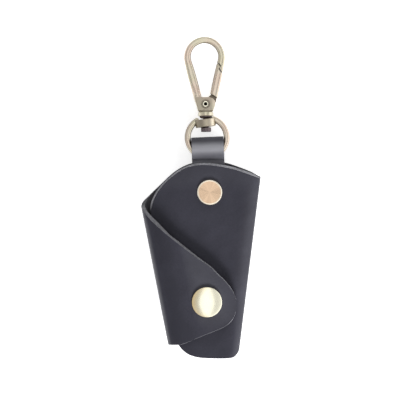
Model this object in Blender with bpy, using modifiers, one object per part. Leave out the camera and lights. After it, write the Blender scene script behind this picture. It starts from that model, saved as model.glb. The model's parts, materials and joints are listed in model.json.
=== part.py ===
"""A leather key sleeve with a snap flap, a split key ring inside and a swivel snap hook.

The sleeve lies on its back: +Z points out of its front face, +Y runs up to the hook and
+X to the right. Sizes are in metres. The origin is under the middle of the whole object.
"""

import math

import bmesh
import bpy
from mathutils import Matrix, Vector

MM = 0.001

# The sleeve: one sheet of leather, folded in three
SLEEVE_WIDTH = 59.5 * MM
SLEEVE_HEIGHT = 98.7 * MM
SLEEVE_BOTTOM = -80.0 * MM
LEATHER = 1.8 * MM
LEFT_FOLD_WIDTH = 6.0 * MM
FLAP_CREST = 0.6 * MM
PANEL_DROP = 1.0 * MM
FLAP_DROOP = 0.5 * MM
SHEET_MARGIN_SHARE = 0.1

# The strap: one strip that is riveted three layers thick
STRAP_THICK = 1.4 * MM
STRAP_WIDTH = 15.8 * MM
STRAP_LEAN = math.radians(2.5)
STRAP_END_MARGIN = 6.0 * MM
LOOP_HALF_HEIGHT = 2.95 * MM
MOUTH_DEPTH = 0.71 * MM
EYE_RISE = 12.8 * MM

# The rivet
RIVET_HEAD_DIAMETER = 12.5 * MM
RIVET_HEAD_THICK = 1.2 * MM
RIVET_BACK_DIAMETER = 9.5 * MM
RIVET_BACK_THICK = 0.6 * MM
RIVET_PIN_DIAMETER = 2.2 * MM
RIVET_TUBE_WALL = 0.5 * MM

# The snap fastener
SNAP_CAP_DIAMETER = 15.0 * MM
SNAP_CAP_HEIGHT = 1.9 * MM
SNAP_SEAT_SHARE = 1.2
DOME_POWER = 2.6
SNAP_GAP = 2.6 * MM
SOCKET_DIAMETER = 10.4 * MM
SOCKET_BARREL_DIAMETER = 8.0 * MM
STUD_FLANGE_DIAMETER = 9.2 * MM
STUD_HEAD_DIAMETER = 4.8 * MM
STUD_NECK_DIAMETER = 3.8 * MM
SNAP_SHEET = 0.4 * MM
SNAP_TUBE_DIAMETER = 2.6 * MM
SNAP_TUBE_BORE = 1.7 * MM
SPRING_WIRE = 0.6 * MM

# The key ring
KEY_RING_DIAMETER = 24.0 * MM
KEY_RING_STRIP = 1.4 * MM
KEY_RING_LEAF = 0.5 * MM
KEY_RING_GAP = 0.42 * MM

# The swivel eye
EYE_RADIUS = 9.7 * MM
EYE_WIRE = 1.5 * MM
EYE_LEAN = math.radians(7.0)
BOSS_LENGTH = 10.0 * MM
BOSS_DEPTH = 8.6 * MM
BOSS_THICK = 3.8 * MM
BOSS_RISE = 7.2 * MM
BOSS_ROUND_SHARE = 0.72
SHOULDER_SHARE = 0.6
SHOULDER_RISE = 0.2 * MM
POST_DIAMETER = 2.8 * MM
POST_HEAD_DIAMETER = 5.1 * MM
POST_HEAD_THICK = 2.2 * MM
POST_PLAY = 0.65 * MM
POST_FLANGE_DIAMETER = 6.4 * MM
POST_FLANGE_THICK = 1.0 * MM
POST_SHIFT = 0.25 * MM

# The hook
HOOK_LEAN = math.radians(1.25)
HOOK_RISE = 4.4 * MM
HOOK_WIRE = 1.62 * MM
CROWN_RADIUS = 8.52 * MM
CROWN_RISE = 28.45 * MM
ARM_ANGLE = math.radians(14.0)
GATE_ANGLE = math.radians(13.2)
COLLAR_DIAMETER = 7.3 * MM
COLLAR_DROP = 0.67 * MM
COLLAR_HEIGHT = 1.65 * MM
GROOVE_HEIGHT = 0.7 * MM
GROOVE_DEPTH = 0.35 * MM
CHEEK_HEIGHT = 3.46 * MM
CHEEK_RADIUS = 4.6 * MM
CHEEK_DEPTH = 6.4 * MM
CHEEK_EDGE = 0.5 * MM
SLOT_RADIUS = 2.9 * MM
SLOT_DEPTH = 3.4 * MM
PIN_RISE = 4.94 * MM
PIN_DIAMETER = 2.5 * MM
PIN_BORE = 1.7 * MM
PIN_BORE_DEPTH = 2.6 * MM
PIN_HEAD_DIAMETER = 3.1 * MM
PIN_HEAD_THICK = 0.35 * MM
PIN_SINK_DIAMETER = 4.3 * MM
PIN_SINK_DEPTH = 0.25 * MM
NOSE_LENGTH = 6.0 * MM
GATE_LENGTH = 17.3 * MM
TANG_THICK = 1.5 * MM
TANG_RADIUS = 2.2 * MM
GATE_SPRING_WIRE = 0.36 * MM
GATE_SPRING_PITCH = 0.5 * MM
GATE_SPRING_TURNS = 2
TANG_WIDTH_SHARE = 0.8
SEAM_PLAY_SHARE = 0.8
SPRING_LEG_SHARES = (1.4, 0.5)

# Clearances
SEAT = 0.05 * MM
FIT = 0.15 * MM
LAYER_GAP = 0.2 * MM
RUN = 0.3 * MM
OVERRUN = 2.0 * MM

# Places on the sleeve, as shares of its width from the middle and of its height from the bottom
RIVET_SHARE = (0.072, 0.835)
SNAP_SHARE = (0.049, 0.288)
LEFT_FOLD_SHARES = ((-0.5, 0.767), (-0.274, 0.069))
RIGHT_FOLD_SHARES = ((0.5, 0.915), (0.321, 0.042))
PANEL_EDGE_SHARES = ((-0.43, 0.754), (-0.169, 0.06))
PANEL_DROP_SHARES = ((-0.19, 0.8), (-0.075, 0.26))
BACK_TOP_SHARES = (
    (-0.5, 0.765), (-0.49, 0.786), (-0.442, 0.817), (-0.336, 0.879), (-0.22, 0.943),
    (-0.09, 0.983), (0.05, 0.99), (0.196, 0.988), (0.308, 0.968), (0.413, 0.943), (0.5, 0.915),
)
FRONT_TOP_SHARES = (
    (-0.43, 0.737), (-0.425, 0.774), (-0.401, 0.811), (-0.371, 0.844), (-0.29, 0.9),
    (-0.173, 0.953), (-0.067, 0.978), (0.063, 0.983), (0.192, 0.973), (0.308, 0.957),
    (0.413, 0.935), (0.5, 0.915),
)
FLAP_SHARES = (
    (-0.5, 0.765), (-0.459, 0.732), (-0.377, 0.691), (-0.234, 0.614), (-0.032, 0.516),
    (0.073, 0.47), (0.138, 0.431), (0.216, 0.385), (0.272, 0.338), (0.3, 0.286),
    (0.297, 0.252), (0.272, 0.209), (0.216, 0.171), (0.138, 0.148), (0.048, 0.126),
    (-0.036, 0.105), (-0.109, 0.087), (-0.175, 0.074), (-0.274, 0.069),
)
FRONT_BOTTOM_SHARES = (
    (-0.19, 0.071), (-0.142, 0.043), (-0.092, 0.023), (-0.008, 0.006), (0.159, 0.0),
    (0.26, 0.004), (0.3, 0.02), (0.33, 0.05),
)
BACK_BOTTOM_SHARES = (
    (-0.3, 0.069), (-0.2, 0.063), (-0.142, 0.048), (-0.092, 0.03), (-0.008, 0.012),
    (0.159, 0.004), (0.26, 0.007), (0.3, 0.023), (0.33, 0.052),
)
# The S-shaped seam between nose and gate: out from the wire's middle line, and down along it
# from where the crown ends, both in shares of the wire's radius
SEAM_SHARES = ((-1.36, 1.3), (-0.37, 1.05), (0.24, 1.73), (-0.07, 2.47), (0.86, 3.4), (1.36, 3.9))

# Levels, from the surface that the sleeve lies on
LAYER_STEP = STRAP_THICK + LAYER_GAP
REAR_LAYER = LEATHER + LAYER_GAP + STRAP_THICK / 2
MID_LEVEL = REAR_LAYER + LAYER_STEP
FRONT_LAYER = MID_LEVEL + LAYER_STEP
CAVITY_TOP = FRONT_LAYER + STRAP_THICK / 2 + LAYER_GAP
PANEL_TOP = CAVITY_TOP + LEATHER
FLAP_UNDER = PANEL_TOP + SNAP_GAP
FLAP_TOP = FLAP_UNDER + LEATHER
FOLD_LEVEL = (FLAP_TOP + FLAP_CREST) / 2
RIGHT_FOLD_RADIUS = PANEL_TOP / 2

# Finishes: colour, roughness and metallic value
LEATHER_LOOK = ((0.055, 0.055, 0.068), 0.6, 0.0)
COPPER_LOOK = ((0.78, 0.55, 0.4), 0.3, 1.0)
PALE_BRASS_LOOK = ((0.85, 0.8, 0.6), 0.25, 1.0)
ANTIQUE_BRASS_LOOK = ((0.58, 0.52, 0.4), 0.35, 1.0)
GUNMETAL_LOOK = ((0.16, 0.13, 0.13), 0.4, 1.0)
STEEL_LOOK = ((0.6, 0.6, 0.6), 0.3, 1.0)

# Fineness of curves
SHARP_ANGLE = math.radians(35.0)
ARC_STEPS = 12
SPLINE_STEPS = 3
ROUND_STEPS = 32


def empty_scene():
    for thing in list(bpy.data.objects):
        bpy.data.objects.remove(thing, do_unlink=True)


def new_collection(name):
    group = bpy.data.collections.new(name)
    bpy.context.scene.collection.children.link(group)
    return group


def new_material(name, colour, roughness, metallic):
    material = bpy.data.materials.new(name)
    material.use_nodes = True
    shader = material.node_tree.nodes["Principled BSDF"]
    shader.inputs["Base Color"].default_value = (*colour, 1.0)
    shader.inputs["Roughness"].default_value = roughness
    shader.inputs["Metallic"].default_value = metallic
    material.diffuse_color = (*colour, 1.0)
    return material


def place(shares):
    """The point of the sleeve that a pair of shares names."""
    return Vector((shares[0] * SLEEVE_WIDTH, SLEEVE_BOTTOM + shares[1] * SLEEVE_HEIGHT))


def smooth_line(points, steps=SPLINE_STEPS):
    """Points of a smooth curve through the given ones."""
    line = [Vector(p) for p in points]
    padded = [2 * line[0] - line[1], *line, 2 * line[-1] - line[-2]]
    result = []
    for i in range(1, len(padded) - 2):
        a, b, c, d = padded[i - 1], padded[i], padded[i + 1], padded[i + 2]
        for k in range(steps):
            t = k / steps
            square, cube = 2 * a - 5 * b + 4 * c - d, 3 * b - a - 3 * c + d
            result.append((2 * b + (c - a) * t + square * t**2 + cube * t**3) / 2)
    result.append(line[-1])
    return result


def arc(centre, radius, start, end, steps=ARC_STEPS):
    """Points of an arc in a plane, with angles in degrees."""
    points = []
    for k in range(steps + 1):
        angle = math.radians(start + (end - start) * k / steps)
        points.append(Vector((centre[0] + radius * math.cos(angle), centre[1] + radius * math.sin(angle))))
    return points


def fold_x(fold_shares, y):
    """Where a straight fold or edge of the sleeve lies at the height y."""
    top, bottom = place(fold_shares[0]), place(fold_shares[1])
    return bottom.x + (top.x - bottom.x) * (y - bottom.y) / (top.y - bottom.y)


def add_object(name, mesh, group, parent=None, location=(0, 0, 0), rotation=(0, 0, 0)):
    piece = bpy.data.objects.new(name, mesh)
    group.objects.link(piece)
    piece.parent = parent
    piece.location = location
    piece.rotation_euler = rotation
    return piece


def add_frame(name, group, location, turn=0.0, parent=None):
    """An empty that carries the pieces built in its own axes."""
    frame = bpy.data.objects.new(name, None)
    group.objects.link(frame)
    frame.parent = parent
    frame.location = location
    frame.rotation_euler = (0, 0, turn)
    return frame


def hang(frame, *pieces):
    """Hangs pieces, where they are, on the empty that lies on the axis they turn about."""
    bpy.context.view_layer.update()
    for piece in pieces:
        where = piece.matrix_world.copy()
        piece.parent = frame
        piece.matrix_parent_inverse = frame.matrix_world.inverted()
        piece.matrix_basis = where


def solid_of(curve_object):
    """Makes a closed mesh object of a curve object and removes the curve."""
    bpy.context.view_layer.update()
    depsgraph = bpy.context.evaluated_depsgraph_get()
    mesh = bpy.data.meshes.new_from_object(curve_object.evaluated_get(depsgraph))
    welder = bmesh.new()
    welder.from_mesh(mesh)
    bmesh.ops.remove_doubles(welder, verts=welder.verts, dist=0.001 * MM)
    bmesh.ops.recalc_face_normals(welder, faces=welder.faces)
    welder.to_mesh(mesh)
    welder.free()
    name, group, parent = curve_object.name, curve_object.users_collection[0], curve_object.parent
    location, rotation = curve_object.location.copy(), curve_object.rotation_euler.copy()
    bpy.data.objects.remove(curve_object, do_unlink=True)
    mesh.name = name
    return add_object(name, mesh, group, parent, location, rotation)


def plate(name, outline, low, high, group, parent=None, location=(0, 0, 0), rotation=(0, 0, 0)):
    """A flat outline in the XY plane, extruded from one level to another."""
    curve = bpy.data.curves.new(name, "CURVE")
    curve.dimensions = "2D"
    curve.fill_mode = "BOTH"
    curve.extrude = (high - low) / 2
    spline = curve.splines.new("POLY")
    spline.points.add(len(outline) - 1)
    for point, xy in zip(spline.points, outline):
        point.co = (xy[0], xy[1], 0, 1)
    spline.use_cyclic_u = True
    piece = solid_of(add_object(name, curve, group, parent, location, rotation))
    piece.data.transform(Matrix.Translation((0, 0, (low + high) / 2)))
    return piece


def wire(name, points, radius, group, parent=None, sides=3, cyclic=False, location=(0, 0, 0)):
    """A round wire along a line of points."""
    curve = bpy.data.curves.new(name, "CURVE")
    curve.dimensions = "3D"
    curve.bevel_depth = radius
    curve.bevel_resolution = sides
    curve.use_fill_caps = True
    spline = curve.splines.new("POLY")
    spline.points.add(len(points) - 1)
    for point, xyz in zip(spline.points, points):
        point.co = (xyz[0], xyz[1], xyz[2], 1)
    spline.use_cyclic_u = cyclic
    return solid_of(add_object(name, curve, group, parent, location))


def turned(name, profile, group, parent=None, location=(0, 0, 0), rotation=(0, 0, 0), steps=ROUND_STEPS):
    """A profile of radii and heights, turned about its own Z axis."""
    mesh = bpy.data.meshes.new(name)
    corners = [(radius, 0, height) for radius, height in profile]
    mesh.from_pydata(corners, [(i, i + 1) for i in range(len(corners) - 1)], [])
    piece = add_object(name, mesh, group, parent, location, rotation)
    screw = piece.modifiers.new("turn", "SCREW")
    screw.steps = steps
    screw.render_steps = steps
    screw.use_merge_vertices = True
    screw.merge_threshold = 0.001 * MM
    if profile[0] == profile[-1]:
        weld = piece.modifiers.new("close", "WELD")
        weld.merge_threshold = 0.001 * MM
    return piece


def combine(piece, tool, how):
    """Cuts, joins or trims a piece with a tool that stays hidden."""
    boolean = piece.modifiers.new(tool.name, "BOOLEAN")
    boolean.operation = how
    boolean.object = tool
    boolean.solver = "EXACT"
    tool.hide_render = True
    tool.display_type = "WIRE"
    return piece


def finish(piece, look):
    """Gives a piece its own material and its shading."""
    piece.data.materials.clear()
    piece.data.materials.append(new_material(piece.name, *look))
    piece.data.shade_smooth()
    piece.data.set_sharp_from_angle(angle=SHARP_ANGLE)
    return piece


def folded_sheet(name, low_section, high_section, low_y, high_y, group):
    """A sheet of leather between two sections of its outer skin, thickened inwards."""
    count = len(low_section)
    corners = [(x, low_y, z) for x, z in low_section] + [(x, high_y, z) for x, z in high_section]
    faces = [(i, count + i, count + i + 1, i + 1) for i in range(count - 1)]
    mesh = bpy.data.meshes.new(name)
    mesh.from_pydata(corners, [], faces)
    sheet = add_object(name, mesh, group)
    skin = sheet.modifiers.new("thickness", "SOLIDIFY")
    skin.thickness = LEATHER
    skin.offset = -1.0
    skin.use_even_offset = True
    return sheet


def body_section(y):
    """The outer skin at one height: half the left fold, the back, the right fold, the front."""
    left = fold_x(LEFT_FOLD_SHARES, y)
    right = fold_x(RIGHT_FOLD_SHARES, y)
    section = []
    for k in range(ARC_STEPS + 1):
        angle = math.pi / 2 * k / ARC_STEPS
        level = FOLD_LEVEL * (1 - math.cos(angle))
        section.append((left + LEFT_FOLD_WIDTH * (1 - math.sin(angle)), level))
    section[-1] = (left, FOLD_LEVEL - RUN / 2)
    section.reverse()
    centre = right - RIGHT_FOLD_RADIUS
    section += [tuple(p) for p in arc((centre, RIGHT_FOLD_RADIUS), RIGHT_FOLD_RADIUS, -90, 90, 2 * ARC_STEPS)]
    drop_start = fold_x(PANEL_DROP_SHARES, y)
    edge = fold_x(PANEL_EDGE_SHARES, y)
    for k in range(ARC_STEPS + 1):
        t = k / ARC_STEPS
        fall = t * t * (3 - 2 * t)
        section.append((drop_start + (edge - drop_start) * t, PANEL_TOP - PANEL_DROP * fall))
    return section


def flap_section(y):
    """The flap's outer skin at one height, from the fold over its crest to beyond its tip."""
    left = fold_x(LEFT_FOLD_SHARES, y)
    crest = FLAP_TOP + FLAP_CREST
    snap = place(SNAP_SHARE)
    snap_run = snap.x - fold_x(LEFT_FOLD_SHARES, snap.y)
    half_seat = SNAP_CAP_DIAMETER / 2 * SNAP_SEAT_SHARE
    section = []
    for k in range(ARC_STEPS + 1):
        angle = math.pi / 2 * k / ARC_STEPS
        x = left + LEFT_FOLD_WIDTH * (1 - math.cos(angle))
        section.append((x, FOLD_LEVEL + (crest - FOLD_LEVEL) * math.sin(angle)))
    section[0] = (left, FOLD_LEVEL + RUN / 2)
    start, end = LEFT_FOLD_WIDTH, snap_run - half_seat
    for k in range(1, ARC_STEPS + 1):
        t = k / ARC_STEPS
        section.append((left + start + (end - start) * t, crest - FLAP_CREST * t * t * (3 - 2 * t)))
    start, end = snap_run + half_seat, snap_run + 2 * half_seat
    for k in range(ARC_STEPS + 1):
        t = k / ARC_STEPS
        section.append((left + start + (end - start) * t, FLAP_TOP - FLAP_DROOP * 2 * t * t))
    section.reverse()
    return section


def edge_cutter(name, shares, low, high, group, upward):
    """A block beyond one smooth edge of the sleeve, above it or below it."""
    line = smooth_line([place(pair) for pair in shares])
    first, last = line[0].copy(), line[-1].copy()
    first.x = -SLEEVE_WIDTH
    last.x = SLEEVE_WIDTH
    far = SLEEVE_BOTTOM + 1.5 * SLEEVE_HEIGHT if upward else SLEEVE_BOTTOM - 0.5 * SLEEVE_HEIGHT
    outline = [first, *line, last, Vector((last.x, far)), Vector((first.x, far))]
    return plate(name, outline, low, high, group)


def make_sleeve(parts, tools):
    """The back, the right fold, the front panel and half of the left fold."""
    margin = SHEET_MARGIN_SHARE * SLEEVE_HEIGHT
    low_y = SLEEVE_BOTTOM - margin
    high_y = SLEEVE_BOTTOM + SLEEVE_HEIGHT + margin
    sleeve = folded_sheet("sleeve_body", body_section(low_y), body_section(high_y), low_y, high_y, parts)
    split = RIGHT_FOLD_RADIUS
    low, high = -OVERRUN, PANEL_TOP + OVERRUN
    edges = (
        ("back_top_cut", BACK_TOP_SHARES, low, split, True),
        ("front_top_cut", FRONT_TOP_SHARES, split, high, True),
        ("back_bottom_cut", BACK_BOTTOM_SHARES, low, split, False),
        ("front_bottom_cut", FRONT_BOTTOM_SHARES, split, high, False),
    )
    for name, shares, start, end, upward in edges:
        combine(sleeve, edge_cutter(name, shares, start, end, tools, upward), "DIFFERENCE")
    return finish(sleeve, LEATHER_LOOK)


def flap_axis(parts):
    """An empty halfway along the left fold's outer line, with its Y axis along the fold."""
    top, bottom = place(LEFT_FOLD_SHARES[0]), place(LEFT_FOLD_SHARES[1])
    middle = (top + bottom) / 2
    lean = math.atan2(bottom.x - top.x, top.y - bottom.y)
    return add_frame("flap_axis", parts, (middle.x, middle.y, FOLD_LEVEL), lean)


def make_flap(parts, tools):
    """The closing flap with its half of the left fold."""
    low_y = SLEEVE_BOTTOM - SHEET_MARGIN_SHARE * SLEEVE_HEIGHT
    high_y = SLEEVE_BOTTOM + SLEEVE_HEIGHT
    flap = folded_sheet("closing_flap", flap_section(low_y), flap_section(high_y), low_y, high_y, parts)
    line = smooth_line([place(pair) for pair in FLAP_SHARES])
    outline = [Vector((-SLEEVE_WIDTH, line[0].y)), *line, Vector((-SLEEVE_WIDTH, line[-1].y))]
    combine(flap, plate("flap_outline", outline, 0, FLAP_TOP + 2 * OVERRUN, tools), "INTERSECT")
    return finish(flap, LEATHER_LOOK)


def drill(name, diameter, low, high, group, parent=None, location=(0, 0, 0), rotation=(0, 0, 0)):
    """A round cutter along its own Z axis."""
    mesh = bpy.data.meshes.new(name)
    cylinder = bmesh.new()
    radius = diameter / 2
    bmesh.ops.create_cone(
        cylinder, cap_ends=True, segments=ROUND_STEPS, radius1=radius, radius2=radius, depth=high - low
    )
    bmesh.ops.translate(cylinder, verts=cylinder.verts, vec=(0, 0, (low + high) / 2))
    cylinder.to_mesh(mesh)
    cylinder.free()
    return add_object(name, mesh, group, parent, location, rotation)


def round_edges(piece, width, segments=2):
    bevel = piece.modifiers.new("edges", "BEVEL")
    bevel.width = width
    bevel.segments = segments
    bevel.limit_method = "ANGLE"
    return piece


def mouth_run():
    """How far up the strap from the rivet it leaves the sleeve, just under the top edge."""
    top = SLEEVE_BOTTOM + max(share[1] for share in BACK_TOP_SHARES) * SLEEVE_HEIGHT
    return (top - place(RIVET_SHARE).y) / math.cos(STRAP_LEAN) - MOUTH_DEPTH


def eye_run():
    """How far up the strap from the rivet the swivel eye's centre lies."""
    return mouth_run() + EYE_RISE


def loop_rise():
    """The strap's upper half loop round the eye's wire, as runs and levels from its middle."""
    mouth = mouth_run()
    eye_low = eye_run() - EYE_RADIUS
    apex = eye_run() - STRAP_THICK / 2
    shoulder = apex - 2 * LOOP_HALF_HEIGHT
    rise = smooth_line(
        [
            (mouth + RUN / 2, LAYER_STEP),
            (mouth + STRAP_THICK, LAYER_STEP),
            (eye_low, EYE_WIRE + STRAP_THICK / 2 + LAYER_GAP),
            (shoulder, LOOP_HALF_HEIGHT),
        ]
    )
    for k in range(1, ARC_STEPS + 1):
        angle = math.pi / 2 * k / ARC_STEPS
        run = shoulder + (apex - shoulder) * math.sin(angle)
        rise.append(Vector((run, LOOP_HALF_HEIGHT * math.cos(angle))))
    return rise


def key_ring_run():
    """How far down the strap from the rivet the key ring's centre lies."""
    return STRAP_END_MARGIN + 2 * LAYER_STEP + 2 * STRAP_THICK + KEY_RING_DIAMETER / 2


def key_loop_run():
    """How far down the strap the lower loop turns, where the key ring's eye is as wide as the strap."""
    half_width = STRAP_WIDTH / 2 + 2 * FIT
    inner = KEY_RING_DIAMETER / 2 - KEY_RING_STRIP
    return key_ring_run() - math.sqrt(inner**2 - half_width**2) + STRAP_THICK / 2 + 2 * RUN


def strip_solid(name, line, parts, frame):
    """A strip of strap leather along a line of runs and levels, as wide as the strap."""
    half = STRAP_THICK / 2
    sides = []
    for i, point in enumerate(line):
        before, after = line[max(i - 1, 0)], line[min(i + 1, len(line) - 1)]
        along = (after - before).normalized()
        normal = Vector((-along.y, along.x))
        sides.append((point + half * normal, point - half * normal))
    outline = [side[0] for side in sides] + [side[1] for side in reversed(sides)]
    strip = plate(name, outline, -STRAP_WIDTH / 2, STRAP_WIDTH / 2, parts, frame)
    # The outline is drawn as run and level, so it is turned up onto the strap's own plane
    strip.data.transform(Matrix(((0, 0, 1, 0), (1, 0, 0, 0), (0, 1, 0, 0), (0, 0, 0, 1))))
    return strip


def make_strap(parts, frame):
    """The riveted strip with its lower loop, its front end, and the loop that holds the eye."""
    mouth = mouth_run()
    turn = LAYER_STEP - key_loop_run()
    tail_line = [Vector((mouth - RUN / 2, -LAYER_STEP)), Vector((turn, -LAYER_STEP))]
    tail_line += arc((turn, 0), LAYER_STEP, 270, 90)[1:]
    lower = -STRAP_END_MARGIN - 2 * LAYER_STEP - STRAP_THICK
    upper = -STRAP_END_MARGIN - STRAP_THICK
    for k in range(ARC_STEPS + 1):
        t = k / ARC_STEPS
        tail_line.append(Vector((lower + (upper - lower) * t, LAYER_STEP * (1 - t * t * (3 - 2 * t)))))
    tail_line.append(Vector((STRAP_END_MARGIN, 0)))
    front_line = [Vector((-STRAP_END_MARGIN, LAYER_STEP)), Vector((mouth - RUN / 2, LAYER_STEP))]
    rise = loop_rise()
    loop_line = rise + [Vector((p.x, -p.y)) for p in reversed(rise[:-1])]
    tail = strip_solid("strap_tail", tail_line, parts, frame)
    front = strip_solid("strap_front", front_line, parts, frame)
    loop = strip_solid("strap_loop", loop_line, parts, frame)
    return [finish(piece, LEATHER_LOOK) for piece in (tail, front, loop)]


def make_rivet(parts, tools, through):
    """The flat head with its pin, and the rear cap with its tube, set through every layer."""
    x, y = place(RIVET_SHARE)
    tube_radius = RIVET_PIN_DIAMETER / 2 + SEAT + RIVET_TUBE_WALL
    radius = RIVET_HEAD_DIAMETER / 2
    low = PANEL_TOP + SEAT
    top = low + RIVET_HEAD_THICK
    rim = RIVET_HEAD_THICK / 3
    pin = RIVET_PIN_DIAMETER / 2
    bore_floor = SEAT + RIVET_BACK_THICK
    head = turned(
        "rivet_head",
        [
            (0, top), (radius - 1.6 * rim, top), (radius - rim, top - rim / 3), (radius, top - rim),
            (radius, low), (pin, low), (pin, bore_floor + RUN), (0, bore_floor + RUN),
        ],
        parts, location=(x, y, 0),
    )
    back_radius = RIVET_BACK_DIAMETER / 2
    back = turned(
        "rivet_back",
        [
            (0, bore_floor), (pin + SEAT, bore_floor), (pin + SEAT, PANEL_TOP), (tube_radius, PANEL_TOP),
            (tube_radius, bore_floor), (back_radius, bore_floor), (back_radius, SEAT), (0, SEAT),
        ],
        parts, location=(x, y, 0),
    )
    hole_width, seat_width = 2 * (tube_radius + FIT), RIVET_BACK_DIAMETER + 2 * FIT
    hole = drill("rivet_hole", hole_width, -OVERRUN, PANEL_TOP + OVERRUN, tools, location=(x, y, 0))
    seat = drill("rivet_seat", seat_width, -OVERRUN, bore_floor + SEAT, tools, location=(x, y, 0))
    for piece in through:
        combine(piece, hole, "DIFFERENCE")
    combine(through[0], seat, "DIFFERENCE")
    return finish(head, COPPER_LOOK), finish(back, STEEL_LOOK)


def make_snap(parts, tools, sleeve, flap):
    """The cap and socket on the flap, the ring spring, and the stud and its post on the panel."""
    x, y = place(SNAP_SHARE)
    at = (x, y, 0)
    tube = SNAP_TUBE_DIAMETER / 2
    cap_radius = SNAP_CAP_DIAMETER / 2
    seat = FLAP_TOP + SEAT
    rim = SNAP_CAP_HEIGHT / 3
    roof = FLAP_UNDER - SEAT
    ceiling = roof - SNAP_SHEET
    dome = []
    rings = ARC_STEPS // 2
    for k in range(rings + 1):
        t = k / rings
        fall = (SNAP_CAP_HEIGHT - 1.5 * rim) * t**DOME_POWER
        dome.append(((cap_radius - rim / 2) * t, seat + SNAP_CAP_HEIGHT - fall))
    edge = arc((cap_radius - rim / 2, seat + rim), rim / 2, 90, 0, 4)
    profile = dome + [tuple(p) for p in edge]
    profile += [(cap_radius - rim / 2, seat), (tube, seat), (tube, ceiling), (0, ceiling)]
    cap = turned("snap_cap", profile, parts, location=at)
    hole = tube + SEAT
    flange = SOCKET_DIAMETER / 2
    barrel = SOCKET_BARREL_DIAMETER / 2
    head = STUD_HEAD_DIAMETER / 2
    neck = STUD_NECK_DIAMETER / 2
    base = PANEL_TOP + SEAT + SNAP_SHEET
    mouth = base + RUN
    lip = mouth + SNAP_SHEET / 2
    spring_radius = head + SPRING_WIRE / 4
    groove = spring_radius + SPRING_WIRE
    socket = turned(
        "snap_socket",
        [
            (hole, roof), (flange, roof), (flange, ceiling), (barrel, ceiling), (barrel, mouth),
            (head + RUN, mouth), (head + RUN, lip), (groove, lip), (groove, ceiling),
            (hole, ceiling), (hole, roof),
        ],
        parts, location=at,
    )
    spring_level = lip + SEAT + SPRING_WIRE / 2
    opening = 20
    turns = arc((0, 0), spring_radius, opening, 360 - opening, ROUND_STEPS)
    ring_line = [(p.x, p.y, 0) for p in turns]
    spring = wire("snap_spring", ring_line, SPRING_WIRE / 2, parts, location=(x, y, spring_level))
    top = ceiling - RUN / 2
    stud = turned(
        "snap_stud",
        [
            (hole, top), (head - SNAP_SHEET, top), (head, top - SNAP_SHEET), (neck, spring_level),
            (neck, base),
            (STUD_FLANGE_DIAMETER / 2, base), (STUD_FLANGE_DIAMETER / 2, PANEL_TOP + SEAT),
            (hole, PANEL_TOP + SEAT), (hole, top),
        ],
        parts, location=at,
    )
    bore = SNAP_TUBE_BORE / 2
    under = CAVITY_TOP - SEAT
    post = turned(
        "snap_post",
        [
            (bore, top), (tube, top), (tube, under), (STUD_FLANGE_DIAMETER / 2, under),
            (STUD_FLANGE_DIAMETER / 2, under - SNAP_SHEET), (bore, under - SNAP_SHEET), (bore, top),
        ],
        parts, location=at,
    )
    low, high = CAVITY_TOP - OVERRUN, FLAP_TOP + OVERRUN
    through = drill("snap_hole", SNAP_TUBE_DIAMETER + 2 * FIT, low, high, tools, location=at)
    combine(sleeve, through, "DIFFERENCE")
    combine(flap, through, "DIFFERENCE")
    for piece in (socket, spring, stud, post):
        finish(piece, STEEL_LOOK)
    return finish(cap, PALE_BRASS_LOOK), socket, spring


def make_key_ring(parts, tools, frame):
    """A split ring: a flat strip wound twice round, with one step from turn to turn."""
    pitch = KEY_RING_LEAF + KEY_RING_GAP
    radius = (KEY_RING_DIAMETER - KEY_RING_STRIP) / 2
    step_start, step_end, end = 300, 352, 655
    line = []
    for degree in range(0, end + 1, 5):
        t = min(max((degree - step_start) / (step_end - step_start), 0), 1)
        angle = math.radians(degree - 60)
        line.append((radius * math.cos(angle), radius * math.sin(angle), pitch * (t * t * (3 - 2 * t) - 0.5)))
    section = bpy.data.curves.new("strip_section", "CURVE")
    section.dimensions = "2D"
    outline = section.splines.new("POLY")
    outline.points.add(3)
    wide, thick = KEY_RING_STRIP / 2, KEY_RING_LEAF / 2
    corners = ((-wide, -thick), (wide, -thick), (wide, thick), (-wide, thick))
    for point, xy in zip(outline.points, corners):
        point.co = (xy[0], xy[1], 0, 1)
    outline.use_cyclic_u = True
    section_object = add_object("strip_section", section, tools)
    section_object.hide_render = True
    curve = bpy.data.curves.new("key_ring", "CURVE")
    curve.dimensions = "3D"
    curve.twist_mode = "Z_UP"
    curve.bevel_mode = "OBJECT"
    curve.bevel_object = section_object
    curve.use_fill_caps = True
    spline = curve.splines.new("POLY")
    spline.points.add(len(line) - 1)
    for point, xyz in zip(spline.points, line):
        point.co = (*xyz, 1)
    ring = solid_of(add_object("key_ring", curve, parts, frame, (0, -key_ring_run(), 0)))
    return finish(ring, STEEL_LOOK)


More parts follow.
